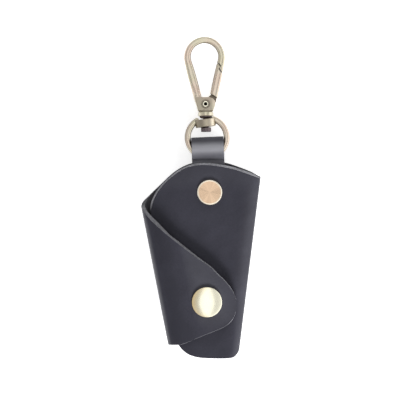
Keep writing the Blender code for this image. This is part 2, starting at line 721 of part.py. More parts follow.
def make_eye(parts, tools, frame):
    """The swivel eye: a round wire closed by a flat boss that turns on the post."""
    reach = math.degrees(math.asin(SHOULDER_SHARE * BOSS_LENGTH / 2 / EYE_RADIUS))
    bow = [(p.x, p.y, 0) for p in arc((0, 0), EYE_RADIUS, 90 + reach, 450 - reach, ROUND_STEPS)]
    eye = wire("swivel_ring", bow, EYE_WIRE, parts, frame, sides=5)
    half_length, half_depth = BOSS_LENGTH / 2, BOSS_DEPTH / 2
    outline = []
    for k in range(ROUND_STEPS):
        angle = 2 * math.pi * k / ROUND_STEPS
        across, deep = math.cos(angle), math.sin(angle)
        outline.append(
            Vector((
                half_length * math.copysign(abs(across) ** BOSS_ROUND_SHARE, across),
                half_depth * math.copysign(abs(deep) ** BOSS_ROUND_SHARE, deep),
            ))
        )
    low, high = BOSS_RISE - BOSS_THICK / 2, BOSS_RISE + BOSS_THICK / 2
    upright = (-math.pi / 2, 0, 0)
    boss = plate("eye_boss", outline, low, high, tools, frame, rotation=upright)
    round_edges(boss, BOSS_THICK / 10, 1)
    combine(eye, boss, "UNION")
    # The wire's ends stand over the boss, but leave the post's flange free
    clear = POST_FLANGE_DIAMETER / 2 + 3 * RUN
    crest = high + SHOULDER_RISE
    above = crest + 2 * EYE_WIRE
    corners = [Vector(corner) for corner in ((-clear, crest), (clear, crest), (clear, above), (-clear, above))]
    room = plate("flange_room", corners, -BOSS_DEPTH, BOSS_DEPTH, tools, frame)
    combine(eye, room, "DIFFERENCE")
    width = POST_DIAMETER + 2 * POST_PLAY
    bore = drill("eye_bore", width, low - OVERRUN, high + OVERRUN, tools, frame, rotation=upright)
    combine(eye, bore, "DIFFERENCE")
    return finish(eye, ANTIQUE_BRASS_LOOK)


def make_post(parts, frame):
    """The headed post that the eye's boss turns on, set in the hook's collar, with a flange under it."""
    upright = (-math.pi / 2, 0, 0)
    shaft, head, flange = POST_DIAMETER / 2, POST_HEAD_DIAMETER / 2, POST_FLANGE_DIAMETER / 2
    top = COLLAR_HEIGHT / 4
    seat = -COLLAR_DROP - SEAT
    rim = POST_FLANGE_THICK / 3
    shoulder = -HOOK_RISE - BOSS_THICK / 2 - RUN
    bottom = shoulder - POST_HEAD_THICK
    edge = POST_HEAD_THICK / 10
    post = turned(
        "swivel_post",
        [
            (0, top), (shaft, top), (shaft, seat), (flange - rim, seat), (flange, seat - rim),
            (flange - rim / 2, seat - 2 * rim), (flange - 2 * rim, seat - POST_FLANGE_THICK),
            (shaft, seat - POST_FLANGE_THICK), (shaft, shoulder), (head - edge, shoulder),
            (head, shoulder - edge), (head, bottom + edge), (head - edge, bottom), (0, bottom),
        ],
        parts, frame, rotation=upright,
    )
    return finish(post, GUNMETAL_LOOK)


def crown_end(side, angle):
    """Where the crown's arc runs out into a straight leg, to the left (-1) or right (1)."""
    return Vector((side * CROWN_RADIUS * math.cos(angle), CROWN_RISE - CROWN_RADIUS * math.sin(angle)))


def seam_point(out, down):
    """A point beside the gate's middle line, from the crown's right end."""
    along = Vector((-math.sin(GATE_ANGLE), -math.cos(GATE_ANGLE)))
    across = Vector((math.cos(GATE_ANGLE), -math.sin(GATE_ANGLE)))
    return crown_end(1, GATE_ANGLE) + across * out + along * down


def seam_block(name, play_out, play_down, far, tools, frame):
    """A block on one side of the seam between nose and gate."""
    line = [seam_point(a * HOOK_WIRE + play_out, b * HOOK_WIRE + play_down) for a, b in SEAM_SHARES]
    wide = 2 * HOOK_WIRE
    line[0:0] = [seam_point(-wide, SEAM_SHARES[0][1] * HOOK_WIRE + play_down)]
    line += [seam_point(wide, SEAM_SHARES[-1][1] * HOOK_WIRE + play_down)]
    line += [seam_point(wide, far), seam_point(-wide, far)]
    return plate(name, line, -2 * HOOK_WIRE, 2 * HOOK_WIRE, tools, frame)


def make_hook(parts, tools, frame):
    """The hook: a grooved collar, two cheeks with the gate's slot between them, and the bow."""
    left = crown_end(-1, ARM_ANGLE)
    groove_top = COLLAR_HEIGHT - COLLAR_DROP + GROOVE_HEIGHT
    foot_level = groove_top + HOOK_WIRE
    leg = (left.y - foot_level) / math.cos(ARM_ANGLE)
    foot = left + Vector((math.sin(ARM_ANGLE), -math.cos(ARM_ANGLE))) * leg
    crown = arc((0, CROWN_RISE), CROWN_RADIUS, 180 + math.degrees(ARM_ANGLE), -math.degrees(GATE_ANGLE), 36)
    nose = seam_point(0, NOSE_LENGTH)
    bow = [foot, (foot + left) / 2, *crown, nose]
    hook = wire("hook_frame", [(p.x, p.y, 0) for p in bow], HOOK_WIRE, parts, frame, sides=6)
    combine(hook, seam_block("nose_cut", 0, 0, 2 * NOSE_LENGTH, tools, frame), "DIFFERENCE")
    collar = COLLAR_DIAMETER / 2
    cheek_top = PIN_RISE + CHEEK_HEIGHT
    arm_slope = math.tan(ARM_ANGLE)
    outline = [Vector((-collar + CHEEK_EDGE / 2, groove_top)), Vector((collar - CHEEK_EDGE / 2, groove_top))]
    outline += arc((0, PIN_RISE), CHEEK_RADIUS, -33, 44, 10)
    outline += arc((CHEEK_RADIUS / 4, cheek_top - CHEEK_RADIUS / 2), CHEEK_RADIUS / 2, 60, 90, 3)
    outline += [Vector((-CHEEK_RADIUS / 3, cheek_top))]
    arm_level = cheek_top + CHEEK_EDGE
    arm_x = left.x + (left.y - arm_level) * arm_slope
    outline += [Vector((arm_x + HOOK_WIRE, arm_level)), Vector((arm_x - HOOK_WIRE / 2, arm_level))]
    cheeks = plate("hook_cheeks", outline, -CHEEK_DEPTH / 2, CHEEK_DEPTH / 2, tools, frame)
    round_edges(cheeks, CHEEK_EDGE)
    combine(hook, cheeks, "UNION")
    upright = (-math.pi / 2, 0, 0)
    bore = POST_DIAMETER / 2 + SEAT
    groove = collar - GROOVE_DEPTH
    low, high = -COLLAR_DROP, COLLAR_HEIGHT - COLLAR_DROP
    edge = COLLAR_HEIGHT / 8
    neck = turned(
        "hook_collar",
        [
            (0, groove_top + GROOVE_HEIGHT), (groove, groove_top + GROOVE_HEIGHT), (groove, high),
            (collar - edge, high), (collar, high - edge), (collar, low + edge), (collar - edge, low),
            (bore, low), (bore, COLLAR_HEIGHT / 3), (0, COLLAR_HEIGHT / 3),
        ],
        tools, frame, rotation=upright,
    )
    combine(hook, neck, "UNION")
    slot_line = arc((0, PIN_RISE), SLOT_RADIUS, 135, 290, 12)
    far = 2 * CHEEK_RADIUS
    beyond = cheek_top + far
    slot_line += [Vector((far, slot_line[-1].y)), Vector((far, beyond)), Vector((slot_line[0].x, beyond))]
    slot = plate("gate_slot", slot_line, -SLOT_DEPTH / 2, SLOT_DEPTH / 2, tools, frame)
    combine(hook, slot, "DIFFERENCE")
    hole = drill(
        "pin_hole", PIN_DIAMETER + 2 * SEAT, -CHEEK_DEPTH, CHEEK_DEPTH, tools, frame,
        location=(0, PIN_RISE, 0),
    )
    combine(hook, hole, "DIFFERENCE")
    for side in (-1, 1):
        inner, outer = sorted((side * (CHEEK_DEPTH / 2 - PIN_SINK_DEPTH), side * CHEEK_DEPTH))
        name = "front_pin_seat" if side > 0 else "rear_pin_seat"
        sink = drill(name, PIN_SINK_DIAMETER, inner, outer, tools, frame, location=(0, PIN_RISE, 0))
        combine(hook, sink, "DIFFERENCE")
    return finish(hook, ANTIQUE_BRASS_LOOK)


def make_gate(parts, tools, frame):
    """The gate: a round bar with a flat tang that turns on the pin inside the slot."""
    # The gate's own frame lies on the pin, so its lines are moved down by the pin's height
    drop = Vector((0, PIN_RISE))
    start, end = seam_point(0, HOOK_WIRE / 2) - drop, seam_point(0, GATE_LENGTH) - drop
    bar = [(*point, 0) for point in (start, (start + end) / 2, end)]
    gate = wire("hook_gate", bar, HOOK_WIRE, parts, frame, sides=6)
    gate.location = (0, PIN_RISE, 0)
    block = seam_block("gate_cut", -RUN, SEAM_PLAY_SHARE * RUN, -GATE_LENGTH, tools, frame)
    combine(gate, block, "DIFFERENCE")
    low = -SLOT_DEPTH / 2 + FIT
    side = TANG_WIDTH_SHARE * HOOK_WIRE
    right = [seam_point(side, GATE_LENGTH + HOOK_WIRE), seam_point(side, GATE_LENGTH - HOOK_WIRE)]
    left = [seam_point(-side, GATE_LENGTH - HOOK_WIRE), seam_point(-side, GATE_LENGTH)]
    outline = arc((0, 0), TANG_RADIUS, 110, 340, 16) + [p - drop for p in right + left]
    tang = plate("gate_tang", outline, low, low + TANG_THICK, tools, frame, location=(0, PIN_RISE, 0))
    hole = drill(
        "gate_hole", PIN_DIAMETER + 2 * FIT, -SLOT_DEPTH, SLOT_DEPTH, tools, frame, location=(0, PIN_RISE, 0)
    )
    combine(tang, hole, "DIFFERENCE")
    combine(gate, tang, "UNION")
    return finish(gate, ANTIQUE_BRASS_LOOK)


def make_gate_pin(parts, frame):
    """The semi tubular rivet that the gate turns on: rolled over in front, with a plain head behind."""
    bore, shaft, head = PIN_BORE / 2, PIN_DIAMETER / 2, PIN_HEAD_DIAMETER / 2
    face = CHEEK_DEPTH / 2 - PIN_SINK_DEPTH + SEAT
    outer = face + PIN_HEAD_THICK
    edge = PIN_HEAD_THICK / 3
    profile = [
        (0, outer - PIN_BORE_DEPTH), (bore, outer - PIN_BORE_DEPTH), (bore, outer - edge),
        (bore + edge, outer), (head - edge, outer), (head, outer - edge), (head, face), (shaft, face),
        (shaft, -face), (head, -face), (head, -outer + edge), (head - edge, -outer), (0, -outer),
    ]
    pin = turned("gate_pin", profile, parts, frame, location=(0, PIN_RISE, 0))
    return finish(pin, PALE_BRASS_LOOK)


def make_gate_spring(parts, frame):
    """The coil round the pin that presses the gate shut: one leg on the hook, one on the gate."""
    radius = PIN_DIAMETER / 2 + FIT + GATE_SPRING_WIRE
    low = -SLOT_DEPTH / 2 + FIT + TANG_THICK + FIT + GATE_SPRING_WIRE / 2
    steps = 14
    start = 75
    line = []
    for k in range(GATE_SPRING_TURNS * steps + 1):
        angle = math.radians(start) + 2 * math.pi * k / steps
        line.append((radius * math.cos(angle), radius * math.sin(angle), low + GATE_SPRING_PITCH * k / steps))
    along = Vector((math.sin(math.radians(start)), -math.cos(math.radians(start)), 0))
    gate_leg = [tuple(Vector(line[0]) + along * SPRING_LEG_SHARES[0] * radius)]
    wall_leg = [tuple(Vector(line[-1]) - along * SPRING_LEG_SHARES[1] * radius)]
    spring = wire(
        "gate_spring", gate_leg + line + wall_leg, GATE_SPRING_WIRE / 2, parts, frame, sides=2,
        location=(0, PIN_RISE, 0),
    )
    return finish(spring, STEEL_LOOK)


def main():
    empty_scene()
    parts = new_collection("key_sleeve")
    tools = new_collection("cutters")
    sleeve = make_sleeve(parts, tools)
    flap = make_flap(parts, tools)
    rivet = place(RIVET_SHARE)
    strap_frame = add_frame("strap_frame", parts, (rivet.x, rivet.y, MID_LEVEL), STRAP_LEAN)
    tail, front, loop = make_strap(parts, strap_frame)
    make_rivet(parts, tools, (sleeve, tail, front))
    cap, socket, spring = make_snap(parts, tools, sleeve, flap)
    hang(flap_axis(parts), flap, cap, socket, spring)
    make_key_ring(parts, tools, strap_frame)
    swing_axis = add_frame("swing_axis", parts, (0, eye_run() - EYE_RADIUS, 0), parent=strap_frame)
    eye_frame = add_frame("eye_frame", parts, (0, EYE_RADIUS, 0), EYE_LEAN - STRAP_LEAN, swing_axis)
    make_eye(parts, tools, eye_frame)
    hang(swing_axis, loop)
    turn = HOOK_LEAN - EYE_LEAN
    hook_place = (POST_SHIFT - HOOK_RISE * math.sin(turn), BOSS_RISE + HOOK_RISE * math.cos(turn), 0)
    hook_axes = add_frame("hook_axes", parts, hook_place, turn, eye_frame)
    make_post(parts, hook_axes)
    make_hook(parts, tools, hook_axes)
    make_gate(parts, tools, hook_axes)
    make_gate_pin(parts, hook_axes)
    make_gate_spring(parts, hook_axes)


main()
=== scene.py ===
"""Key sleeve: the leather, the metal and the photo table of a folded key case.

Pieces are modelled in millimetres on the bench and set down in metres, in the row frame:
+Z out of the front face, +Y up to the hook, +X to the right.
"""

import json
import math

import bmesh
import bpy
from bpy.props import FloatProperty, FloatVectorProperty, IntProperty, PointerProperty
from mathutils import Matrix, Vector, noise
from mathutils.kdtree import KDTree

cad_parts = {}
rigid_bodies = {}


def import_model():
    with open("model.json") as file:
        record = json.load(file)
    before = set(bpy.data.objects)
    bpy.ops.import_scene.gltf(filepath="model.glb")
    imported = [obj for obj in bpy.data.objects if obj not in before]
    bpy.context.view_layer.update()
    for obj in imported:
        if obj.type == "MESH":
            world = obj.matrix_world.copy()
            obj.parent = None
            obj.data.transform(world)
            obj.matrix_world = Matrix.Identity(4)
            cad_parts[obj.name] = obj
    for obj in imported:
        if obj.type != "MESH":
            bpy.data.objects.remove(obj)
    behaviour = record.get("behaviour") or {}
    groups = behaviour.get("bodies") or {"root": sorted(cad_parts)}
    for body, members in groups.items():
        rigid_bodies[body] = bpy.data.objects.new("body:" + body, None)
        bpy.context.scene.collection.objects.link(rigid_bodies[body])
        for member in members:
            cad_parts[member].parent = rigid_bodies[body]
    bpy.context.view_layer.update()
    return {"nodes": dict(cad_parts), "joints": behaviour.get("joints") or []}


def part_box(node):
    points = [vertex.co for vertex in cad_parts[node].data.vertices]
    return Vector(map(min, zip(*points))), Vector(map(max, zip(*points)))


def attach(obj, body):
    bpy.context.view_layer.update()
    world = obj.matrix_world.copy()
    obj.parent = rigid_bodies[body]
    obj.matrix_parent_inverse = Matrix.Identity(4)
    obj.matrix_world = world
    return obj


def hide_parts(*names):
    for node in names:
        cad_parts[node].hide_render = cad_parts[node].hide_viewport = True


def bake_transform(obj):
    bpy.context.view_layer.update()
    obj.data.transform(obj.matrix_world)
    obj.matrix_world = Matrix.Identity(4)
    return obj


bl_info = {
    "name": "Key sleeve",
    "version": (1, 0, 0),
    "blender": (4, 5, 0),
    "location": "3D View > Sidebar > Key sleeve",
    "description": "Builds the leather and metal of a folded key sleeve on its packed frame",
    "category": "Add Mesh",
}

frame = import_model()
JOINTS = {joint["name"]: joint for joint in frame["joints"]}
MM = 0.001

# The sleeve's sheet, in millimetres
SLEEVE_WIDTH = 59.5
SLEEVE_HEIGHT = 98.7
SLEEVE_BOTTOM = -80.0
SLEEVE_LEATHER = 1.8
FOLD_RUN = 6.0
FOLD_LEVEL = 6.8
CREST = 13.6
FLAP_TOP = 13.0
PANEL_TOP = 8.6
PANEL_DROP = 1.0
FLAP_DROOP = 1.0
FOLD_RADIUS = PANEL_TOP / 2
SEAM_RUN = 15.0
SNAP_SEAT = 9.0
ARCH_RUN = 10.0
LOW_FOLD_RUN = 4.6
HIGH_FOLD_RUN = 5.2
TRIM_REACH = 5.0
BACK_SLANT = -0.3
PANEL_SLANT = 0.2
PANEL_SKIVE = 1.05
FLAP_SLANT = 0.26
FLAP_SKIVE = 1.1
SNAP_DENT = 7.6
RIVET_DENT = 6.3
DENT_DEPTH = 0.14
SEAT_GAP = 0.05
SLOPE_STEP = 0.05

# How many columns, rows and steps the meshes have
SIDE_COLUMNS = 14
FLAP_COLUMNS = 34
FLAP_ROWS = 64
FLAP_STEPS = 120
BACK_COLUMNS = 20
FOLD_COLUMNS = 12
PANEL_COLUMNS = 48
BODY_ROWS = 72
STRAP_ROWS = 14
QUARTER_STEPS = 24
BOW_STEPS = 32
DRILL_STEPS = 64

# The strap, the rivet, the eye, the key ring and the hook, in millimetres, with angles in degrees
LAYER = 1.6
STRAP_LEATHER = 1.4
STRAP_WIDTH = 15.8
STRAP_END = 6.0
STRAP_SLACK = 0.3
MOUTH_RUN = 14.6
EYE_RUN = 27.4
EYE_RADIUS = 9.7
EYE_WIRE = 1.5
EYE_LEAN = 7.0
BOSS = (10.0, 8.6, 3.8)
BOSS_RISE = 7.2
BOSS_BORE = 2.05
RIVET_SINK = 0.4
RIVET_LIP = 0.75
CAP_LIP = 0.75
LOOP_HEIGHT = 2.95
GROOVE_PITCH = 0.24
GROOVE_DEPTH = 0.0085
KEY_RING_RADIUS = 12.0
KEY_WIRE = (0.7, 0.25)
KEY_RING_LIFT = 0.92
KEY_RING_WINDING = 656
KEY_LOOP_RUN = 20.5
HOOK_WIRE = 1.62
CROWN_RADIUS = 8.52
CROWN_RISE = 28.45
ARM_ANGLE = 14.0
GATE_ANGLE = 13.2
PIN_RISE = 4.94
CHEEK_TOP = 8.4
ARM_SWELL = 0.95
ARM_RAMP = 6.5
LEG_SWELL = 0.26
FOOT_TAPER = 0.32
CHEEK_RADIUS = 4.6
CHEEK_DEPTH = 6.4
CHEEK_EDGE = 0.55
CHEEK_SIDE = ((4.05, 2.5), (4.55, 3.7), (4.85, 4.9), (4.7, 6.1), (4.1, 7.2), (3.1, 8.05), (1.8, 8.4))
COLLAR_RADIUS = 3.8
COLLAR_LOW = -0.95
COLLAR_HIGH = 0.98
GROOVE_TOP = 1.68
SLOT_RADIUS = 2.9
SLOT_DEPTH = 3.4
PIN_BORE = 1.4
NOSE_LENGTH = 6.0
SEAM_SLOPE = 0.3
SEAM_LEAN = 0.16
GATE_LENGTH = 17.3
GATE_END = ((2.65, 10.07), (5.75, 8.19))
TANG_CORNERS = ((4.1, 4.3), (5.2, 6.1), (5.7, 8.2))
CLEARANCE = 0.3
WIRE_POWER = 0.84
BORE_REACH = 5.0

# Radii and heights of turned pieces, in millimetres
POST_PROFILE = (
    (0, 0.41), (1.4, 0.41), (1.4, -1.0), (2.95, -1.0), (3.2, -1.2), (3.08, -1.55), (2.4, -2.05),
    (1.4, -2.12), (1.4, -6.6), (2.33, -6.6), (2.55, -6.82), (2.55, -8.58), (2.33, -8.8), (0, -8.8),
)
COLLAR_PROFILE = (
    (0, 2.4), (3.45, 2.4), (3.45, COLLAR_HIGH), (COLLAR_RADIUS - 0.1, COLLAR_HIGH),
    (COLLAR_RADIUS, COLLAR_HIGH - 0.2), (COLLAR_RADIUS, COLLAR_LOW + 0.2),
    (COLLAR_RADIUS - 0.2, COLLAR_LOW), (1.45, COLLAR_LOW), (1.45, 0.55), (0, 0.55),
)
CHEEK_BORE_PROFILE = (
    (0, BORE_REACH), (2.15, BORE_REACH), (2.15, 2.95), (1.3, 2.95),
    (1.3, -2.95), (2.15, -2.95), (2.15, -BORE_REACH), (0, -BORE_REACH),
)
PIN_PROFILE = (
    (0, 0.8), (0.85, 0.8), (0.85, 3.2), (0.95, 3.33), (1.15, 3.38), (1.42, 3.3), (1.55, 3.14), (1.5, 3.01),
    (1.25, 3.0), (1.25, -3.0), (1.55, -3.0), (1.55, -3.24), (1.4, -3.35), (0, -3.35),
)

# Outlines in shares of the sleeve's width from its middle and of its height from its bottom
BACK_TOP_SHARES = (
    (-0.5, 0.765), (-0.49, 0.786), (-0.442, 0.817), (-0.336, 0.879), (-0.22, 0.943),
    (-0.09, 0.983), (0.05, 0.99), (0.196, 0.988), (0.308, 0.968), (0.413, 0.943), (0.5, 0.915),
)
FRONT_TOP_SHARES = (
    (-0.43, 0.737), (-0.425, 0.774), (-0.401, 0.811), (-0.371, 0.844), (-0.29, 0.9),
    (-0.173, 0.953), (-0.067, 0.978), (0.063, 0.983), (0.192, 0.973), (0.308, 0.957),
    (0.413, 0.935), (0.5, 0.915),
)
FLAP_SHARES = (
    (-0.5, 0.765), (-0.459, 0.732), (-0.377, 0.691), (-0.234, 0.614), (-0.032, 0.516),
    (0.073, 0.47), (0.138, 0.431), (0.216, 0.385), (0.272, 0.338), (0.3, 0.286),
    (0.297, 0.252), (0.272, 0.209), (0.216, 0.171), (0.138, 0.148), (0.048, 0.126),
    (-0.036, 0.105), (-0.109, 0.087), (-0.175, 0.074), (-0.274, 0.069),
)
FRONT_BOTTOM_SHARES = (
    (-0.195, 0.07), (-0.151, 0.039), (-0.099, 0.018), (-0.008, 0.004), (0.159, 0.0),
    (0.26, 0.004), (0.3, 0.02), (0.33, 0.05),
)
BACK_BOTTOM_SHARES = (
    (-0.3, 0.069), (-0.2, 0.063), (-0.142, 0.048), (-0.092, 0.03), (-0.008, 0.012),
    (0.159, 0.004), (0.26, 0.007), (0.3, 0.023), (0.33, 0.052),
)
LEFT_FOLD_SHARES = ((-0.5, 0.767), (-0.274, 0.069))
RIGHT_FOLD_SHARES = ((0.5, 0.915), (0.321, 0.042))
PANEL_EDGE_SHARES = ((-0.43, 0.754), (-0.187, 0.06))
PANEL_DROP_SHARES = ((-0.19, 0.8), (-0.075, 0.26))

# The seam's corners in shares of the wire's radius, across the gate and down it
SEAM_SHARES = ((-1.36, 1.3), (-0.37, 1.05), (0.24, 1.73), (-0.07, 2.47), (0.86, 3.4), (1.36, 3.9))


def colour_setting(name, description, default):
    return FloatVectorProperty(name=name, description=description, subtype="COLOR", size=3, default=default)


def length_setting(name, description, default):
    return FloatProperty(name=name, description=description, unit="LENGTH", default=default)


class LeatherSettings(bpy.types.PropertyGroup):
    """What a maker would change on the leather."""

    colour: colour_setting("Leather", "Colour of the grain side", (0.041, 0.0405, 0.053))
    # The paler colour serves both for oil drawn from a bend and for painted highlights on the folds and the
    # strap's loop.
    pull_and_highlight_colour: colour_setting("Pull up", "Colour where a bend pulls the oil away", (0.34, 0.34, 0.37))
    cut_colour: colour_setting("Cut edge", "Colour of the raw cut edge", (0.36, 0.36, 0.39))
    flesh_colour: colour_setting("Flesh side", "Colour of the inner side", (0.062, 0.06, 0.07))
    thickness: length_setting("Sleeve leather", "Thickness of the sleeve's sheet", SLEEVE_LEATHER * MM)
    strap_thickness: length_setting("Strap leather", "Thickness of the strap", STRAP_LEATHER * MM)
    edge_softness: length_setting("Edge softness", "Radius of the leather's cut edges", 0.32 * MM)


class MetalSettings(bpy.types.PropertyGroup):
    """What a maker would change on the fittings."""

    brass: colour_setting("Antique brass", "Colour of the hook and eye", (0.575, 0.51, 0.4))
    # Also the colour of painted shade in the hook's seam, slot, groove and pin crater, and in the pin's bore.
    patina_and_shade_colour: colour_setting("Patina", "Colour in the hollows of the hook", (0.13, 0.105, 0.08))
    pale_brass: colour_setting("Pale brass", "Colour of the snap cap", (0.95, 0.92, 0.74))
    # The rim colour is painted shade on the snap cap's rim, strongest on the left.
    cap_rim_shade_colour: colour_setting("Cap's rim", "Colour at the rim of the snap cap", (0.72, 0.54, 0.27))
    copper: colour_setting("Copper", "Colour of the rivet head", (0.6, 0.435, 0.3))
    # The rim colour is a painted highlight round the rivet head's rim.
    rivet_rim_highlight: colour_setting("Rivet's rim", "Colour of the rivet head's rubbed rim", (0.88, 0.8, 0.66))
    gunmetal: colour_setting("Gunmetal", "Colour of the swivel post", (0.14, 0.115, 0.12))
    steel: colour_setting("Nickel", "Colour of the hidden steel", (0.62, 0.61, 0.59))
    round_steps: IntProperty(
        name="Round steps", description="Facets of turned pieces", default=96, min=24, max=256
    )
    casting_grain: length_setting("Casting grain", "Fineness of the cast pieces' mesh", 0.13 * MM)


def overload(operation, reflected=False):
    """A method for one of Python's operators, which adds a Math node."""

    def method(value, other):
        return value.joined(operation, *((other, value) if reflected else (value, other)))

    return method


class Value:
    """A number socket whose sums and products become Math nodes."""

    def __init__(self, tree, socket):
        self.tree = tree
        self.socket = socket

    def joined(self, operation, *operands):
        """A Math node on numbers and sockets."""
        node = self.tree.nodes.new("ShaderNodeMath")
        node.operation = operation
        for slot, operand in zip(node.inputs, operands):
            if isinstance(operand, Value):
                self.tree.links.new(operand.socket, slot)
            else:
                slot.default_value = operand
        return Value(self.tree, node.outputs[0])

    __add__ = __radd__ = overload("ADD")
    __mul__ = __rmul__ = overload("MULTIPLY")
    __sub__ = overload("SUBTRACT")
    __rsub__ = overload("SUBTRACT", reflected=True)
    __truediv__ = overload("DIVIDE")

    def math(self, operation, *others):
        return self.joined(operation, self, *others)

    def clamped(self):
        return self.math("MAXIMUM", 0.0).math("MINIMUM", 1.0)

    def between(self, low, high):
        """0 below low, 1 above high, and even between them."""
        return ((self - low) / (high - low)).clamped()


class Nodes:
    """A node tree, and what adds nodes to it."""

    def __init__(self, tree):
        self.tree = tree

    def node(self, kind, settings=None, **sockets):
        """Any node, by its type, its settings and its sockets, which are named, or numbered as _6."""
        node = self.tree.nodes.new(kind)
        for key, value in (settings or {}).items():
            setattr(node, key, value)
        for key, value in sockets.items():
            self.hold(node.inputs[int(key[1:]) if key[0] == "_" else key], value)
        return node

    def hold(self, slot, value):
        """Links a socket, or sets it."""
        if isinstance(value, (Value, bpy.types.NodeSocket)):
            self.tree.links.new(getattr(value, "socket", value), slot)
        else:
            slot.default_value = value

    def value(self, kind, output, settings=None, **sockets):
        """One output of a new node, as a number."""
        return Value(self.tree, self.node(kind, settings, **sockets).outputs[output])


class Finish(Nodes):
    """A procedural material: one shader and the nodes that feed it."""

    def __init__(self, name, metallic, roughness):
        self.material = bpy.data.materials.new(name)
        self.material.use_nodes = True
        super().__init__(self.material.node_tree)
        self.shader = self.tree.nodes["Principled BSDF"]
        self.feed("Metallic", metallic)
        self.feed("Roughness", roughness)

    def feed(self, socket, value):
        self.hold(self.shader.inputs[socket], value)

    def coordinates(self):
        """Object coordinates, in metres."""
        return self.node("ShaderNodeTexCoord").outputs["Object"]

    def attribute(self, name):
        return self.value("ShaderNodeAttribute", "Fac", {"attribute_name": name})

    def from_centre(self, centre):
        """Object coordinates from a centre in millimetres, and how far right and how far out, in metres."""
        shift = (-centre.x * MM, -centre.y * MM, 0)
        local = self.node("ShaderNodeMapping", Vector=self.coordinates(), Location=shift)
        parts = self.node("ShaderNodeSeparateXYZ", Vector=local.outputs[0]).outputs
        across, along = Value(self.tree, parts[0]), Value(self.tree, parts[1])
        return local.outputs[0], across, (across * across + along * along).math("SQRT")

    def noise(self, vector, grain, detail=3.0, roughness=0.5):
        """Noise whose features are about as wide as grain, in metres."""
        look = {"Scale": 1 / grain, "Detail": detail, "Roughness": roughness}
        return self.value("ShaderNodeTexNoise", 0, Vector=vector, **look)

    def cells(self, vector, grain):
        return self.value("ShaderNodeTexVoronoi", "Distance", Vector=vector, Scale=1 / grain)

    def mix(self, share, low, high):
        """A colour between two, by a share from 0 to 1."""
        low, high = (c if isinstance(c, bpy.types.NodeSocket) else (*c, 1.0) for c in (low, high))
        return self.node("ShaderNodeMix", {"data_type": "RGBA"}, _0=share, _6=low, _7=high).outputs[2]

    def shades(self, share, colour, low, high):
        """Between two strengths of one colour."""
        return self.mix(share, scaled(colour, low), scaled(colour, high))

    def bump(self, height, depth, strength):
        node = self.node("ShaderNodeBump", Height=height, Distance=depth, Strength=strength)
        self.feed("Normal", node.outputs[0])

    def rubbed(self, haze, rub, roughness):
        """The marks of handling on smooth plating."""
        self.feed("Roughness", (haze * 0.14 + rub * 0.1 + (roughness - 0.12)).clamped())
        self.bump(rub, 0.00002, 0.3)


def scaled(colour, share):
    return tuple(channel * share for channel in colour)


def leather_finish(name, colour, pull_and_highlight_colour):
    """Smooth oiled leather: fine pores, cloudy tone, paler where a bend draws the oil away and where a
    highlight is painted, and darker where shade is painted.
    """
    finish = Finish(name, 0.0, 0.5)
    finish.feed("Specular IOR Level", 0.1)
    vector = finish.node("ShaderNodeUVMap", {"uv_map": "flat"}).outputs[0]
    cloud = finish.noise(vector, 0.014, 4.0, 0.6)
    grain = finish.noise(vector, 0.0009, 4.0, 0.65)
    pores = finish.cells(vector, 0.0006)
    pull_and_painted_light = finish.attribute("pull_and_painted_light")
    # Below zero the vertex attribute darkens the tone as painted shade; above zero it mixes in the paler
    # colour, partly real and partly a painted highlight.
    tone = (cloud * 0.6 + grain * 0.4 + pull_and_painted_light.math("MINIMUM", 0.0)).between(0.3, 0.7)
    plain = finish.shades(tone, colour, 0.8, 1.22)
    finish.feed("Base Color", finish.mix((pull_and_painted_light * (cloud * 0.6 + 0.6)).clamped(), plain, pull_and_highlight_colour))
    finish.feed("Roughness", (cloud * 0.12 + grain * 0.12 + 0.4).clamped())
    finish.bump(pores * 0.5 + grain * 0.9 + cloud * 0.4, 0.00005, 0.55)
    return finish.material


def cut_finish(name, colour):
    """The raw cut edge: fibres packed along the sheet, paler on the top rims that face away from the key
    lamp, a painted highlight.
    """
    finish = Finish(name, 0.0, 0.85)
    vector = finish.coordinates()
    fibres = finish.noise(vector, 0.0005, 5.0, 0.7)
    tone = (fibres * 0.75 + finish.noise(vector, 0.004, 2.0) * 0.25).between(0.38, 0.62)
    painted_rim_light = finish.attribute("painted_rim_light")
    dense = finish.shades(painted_rim_light, colour, 0.17, 0.5)
    loose = finish.shades(painted_rim_light, colour, 0.52, 1.6)
    finish.feed("Base Color", finish.mix(tone, dense, loose))
    finish.bump(fibres, 0.0002, 0.8)
    return finish.material


def flesh_finish(name, colour):
    """The inner side: a matt nap."""
    finish = Finish(name, 0.0, 0.95)
    vector = finish.coordinates()
    nap = finish.noise(vector, 0.0004, 5.0, 0.75)
    tone = (nap * 0.6 + finish.noise(vector, 0.008, 2.0) * 0.4).between(0.3, 0.7)
    finish.feed("Base Color", finish.shades(tone, colour, 0.7, 1.3))
    finish.bump(nap, 0.00018, 0.9)
    return finish.material


def painted_shade_finish(name, colour):
    """Painted shade: a dark matt colour for the pin's bore and its outer rim."""
    finish = Finish(name, 0.0, 0.9)
    finish.feed("Base Color", finish.shades(finish.noise(finish.coordinates(), 0.0004), colour, 0.15, 0.5))
    return finish.material


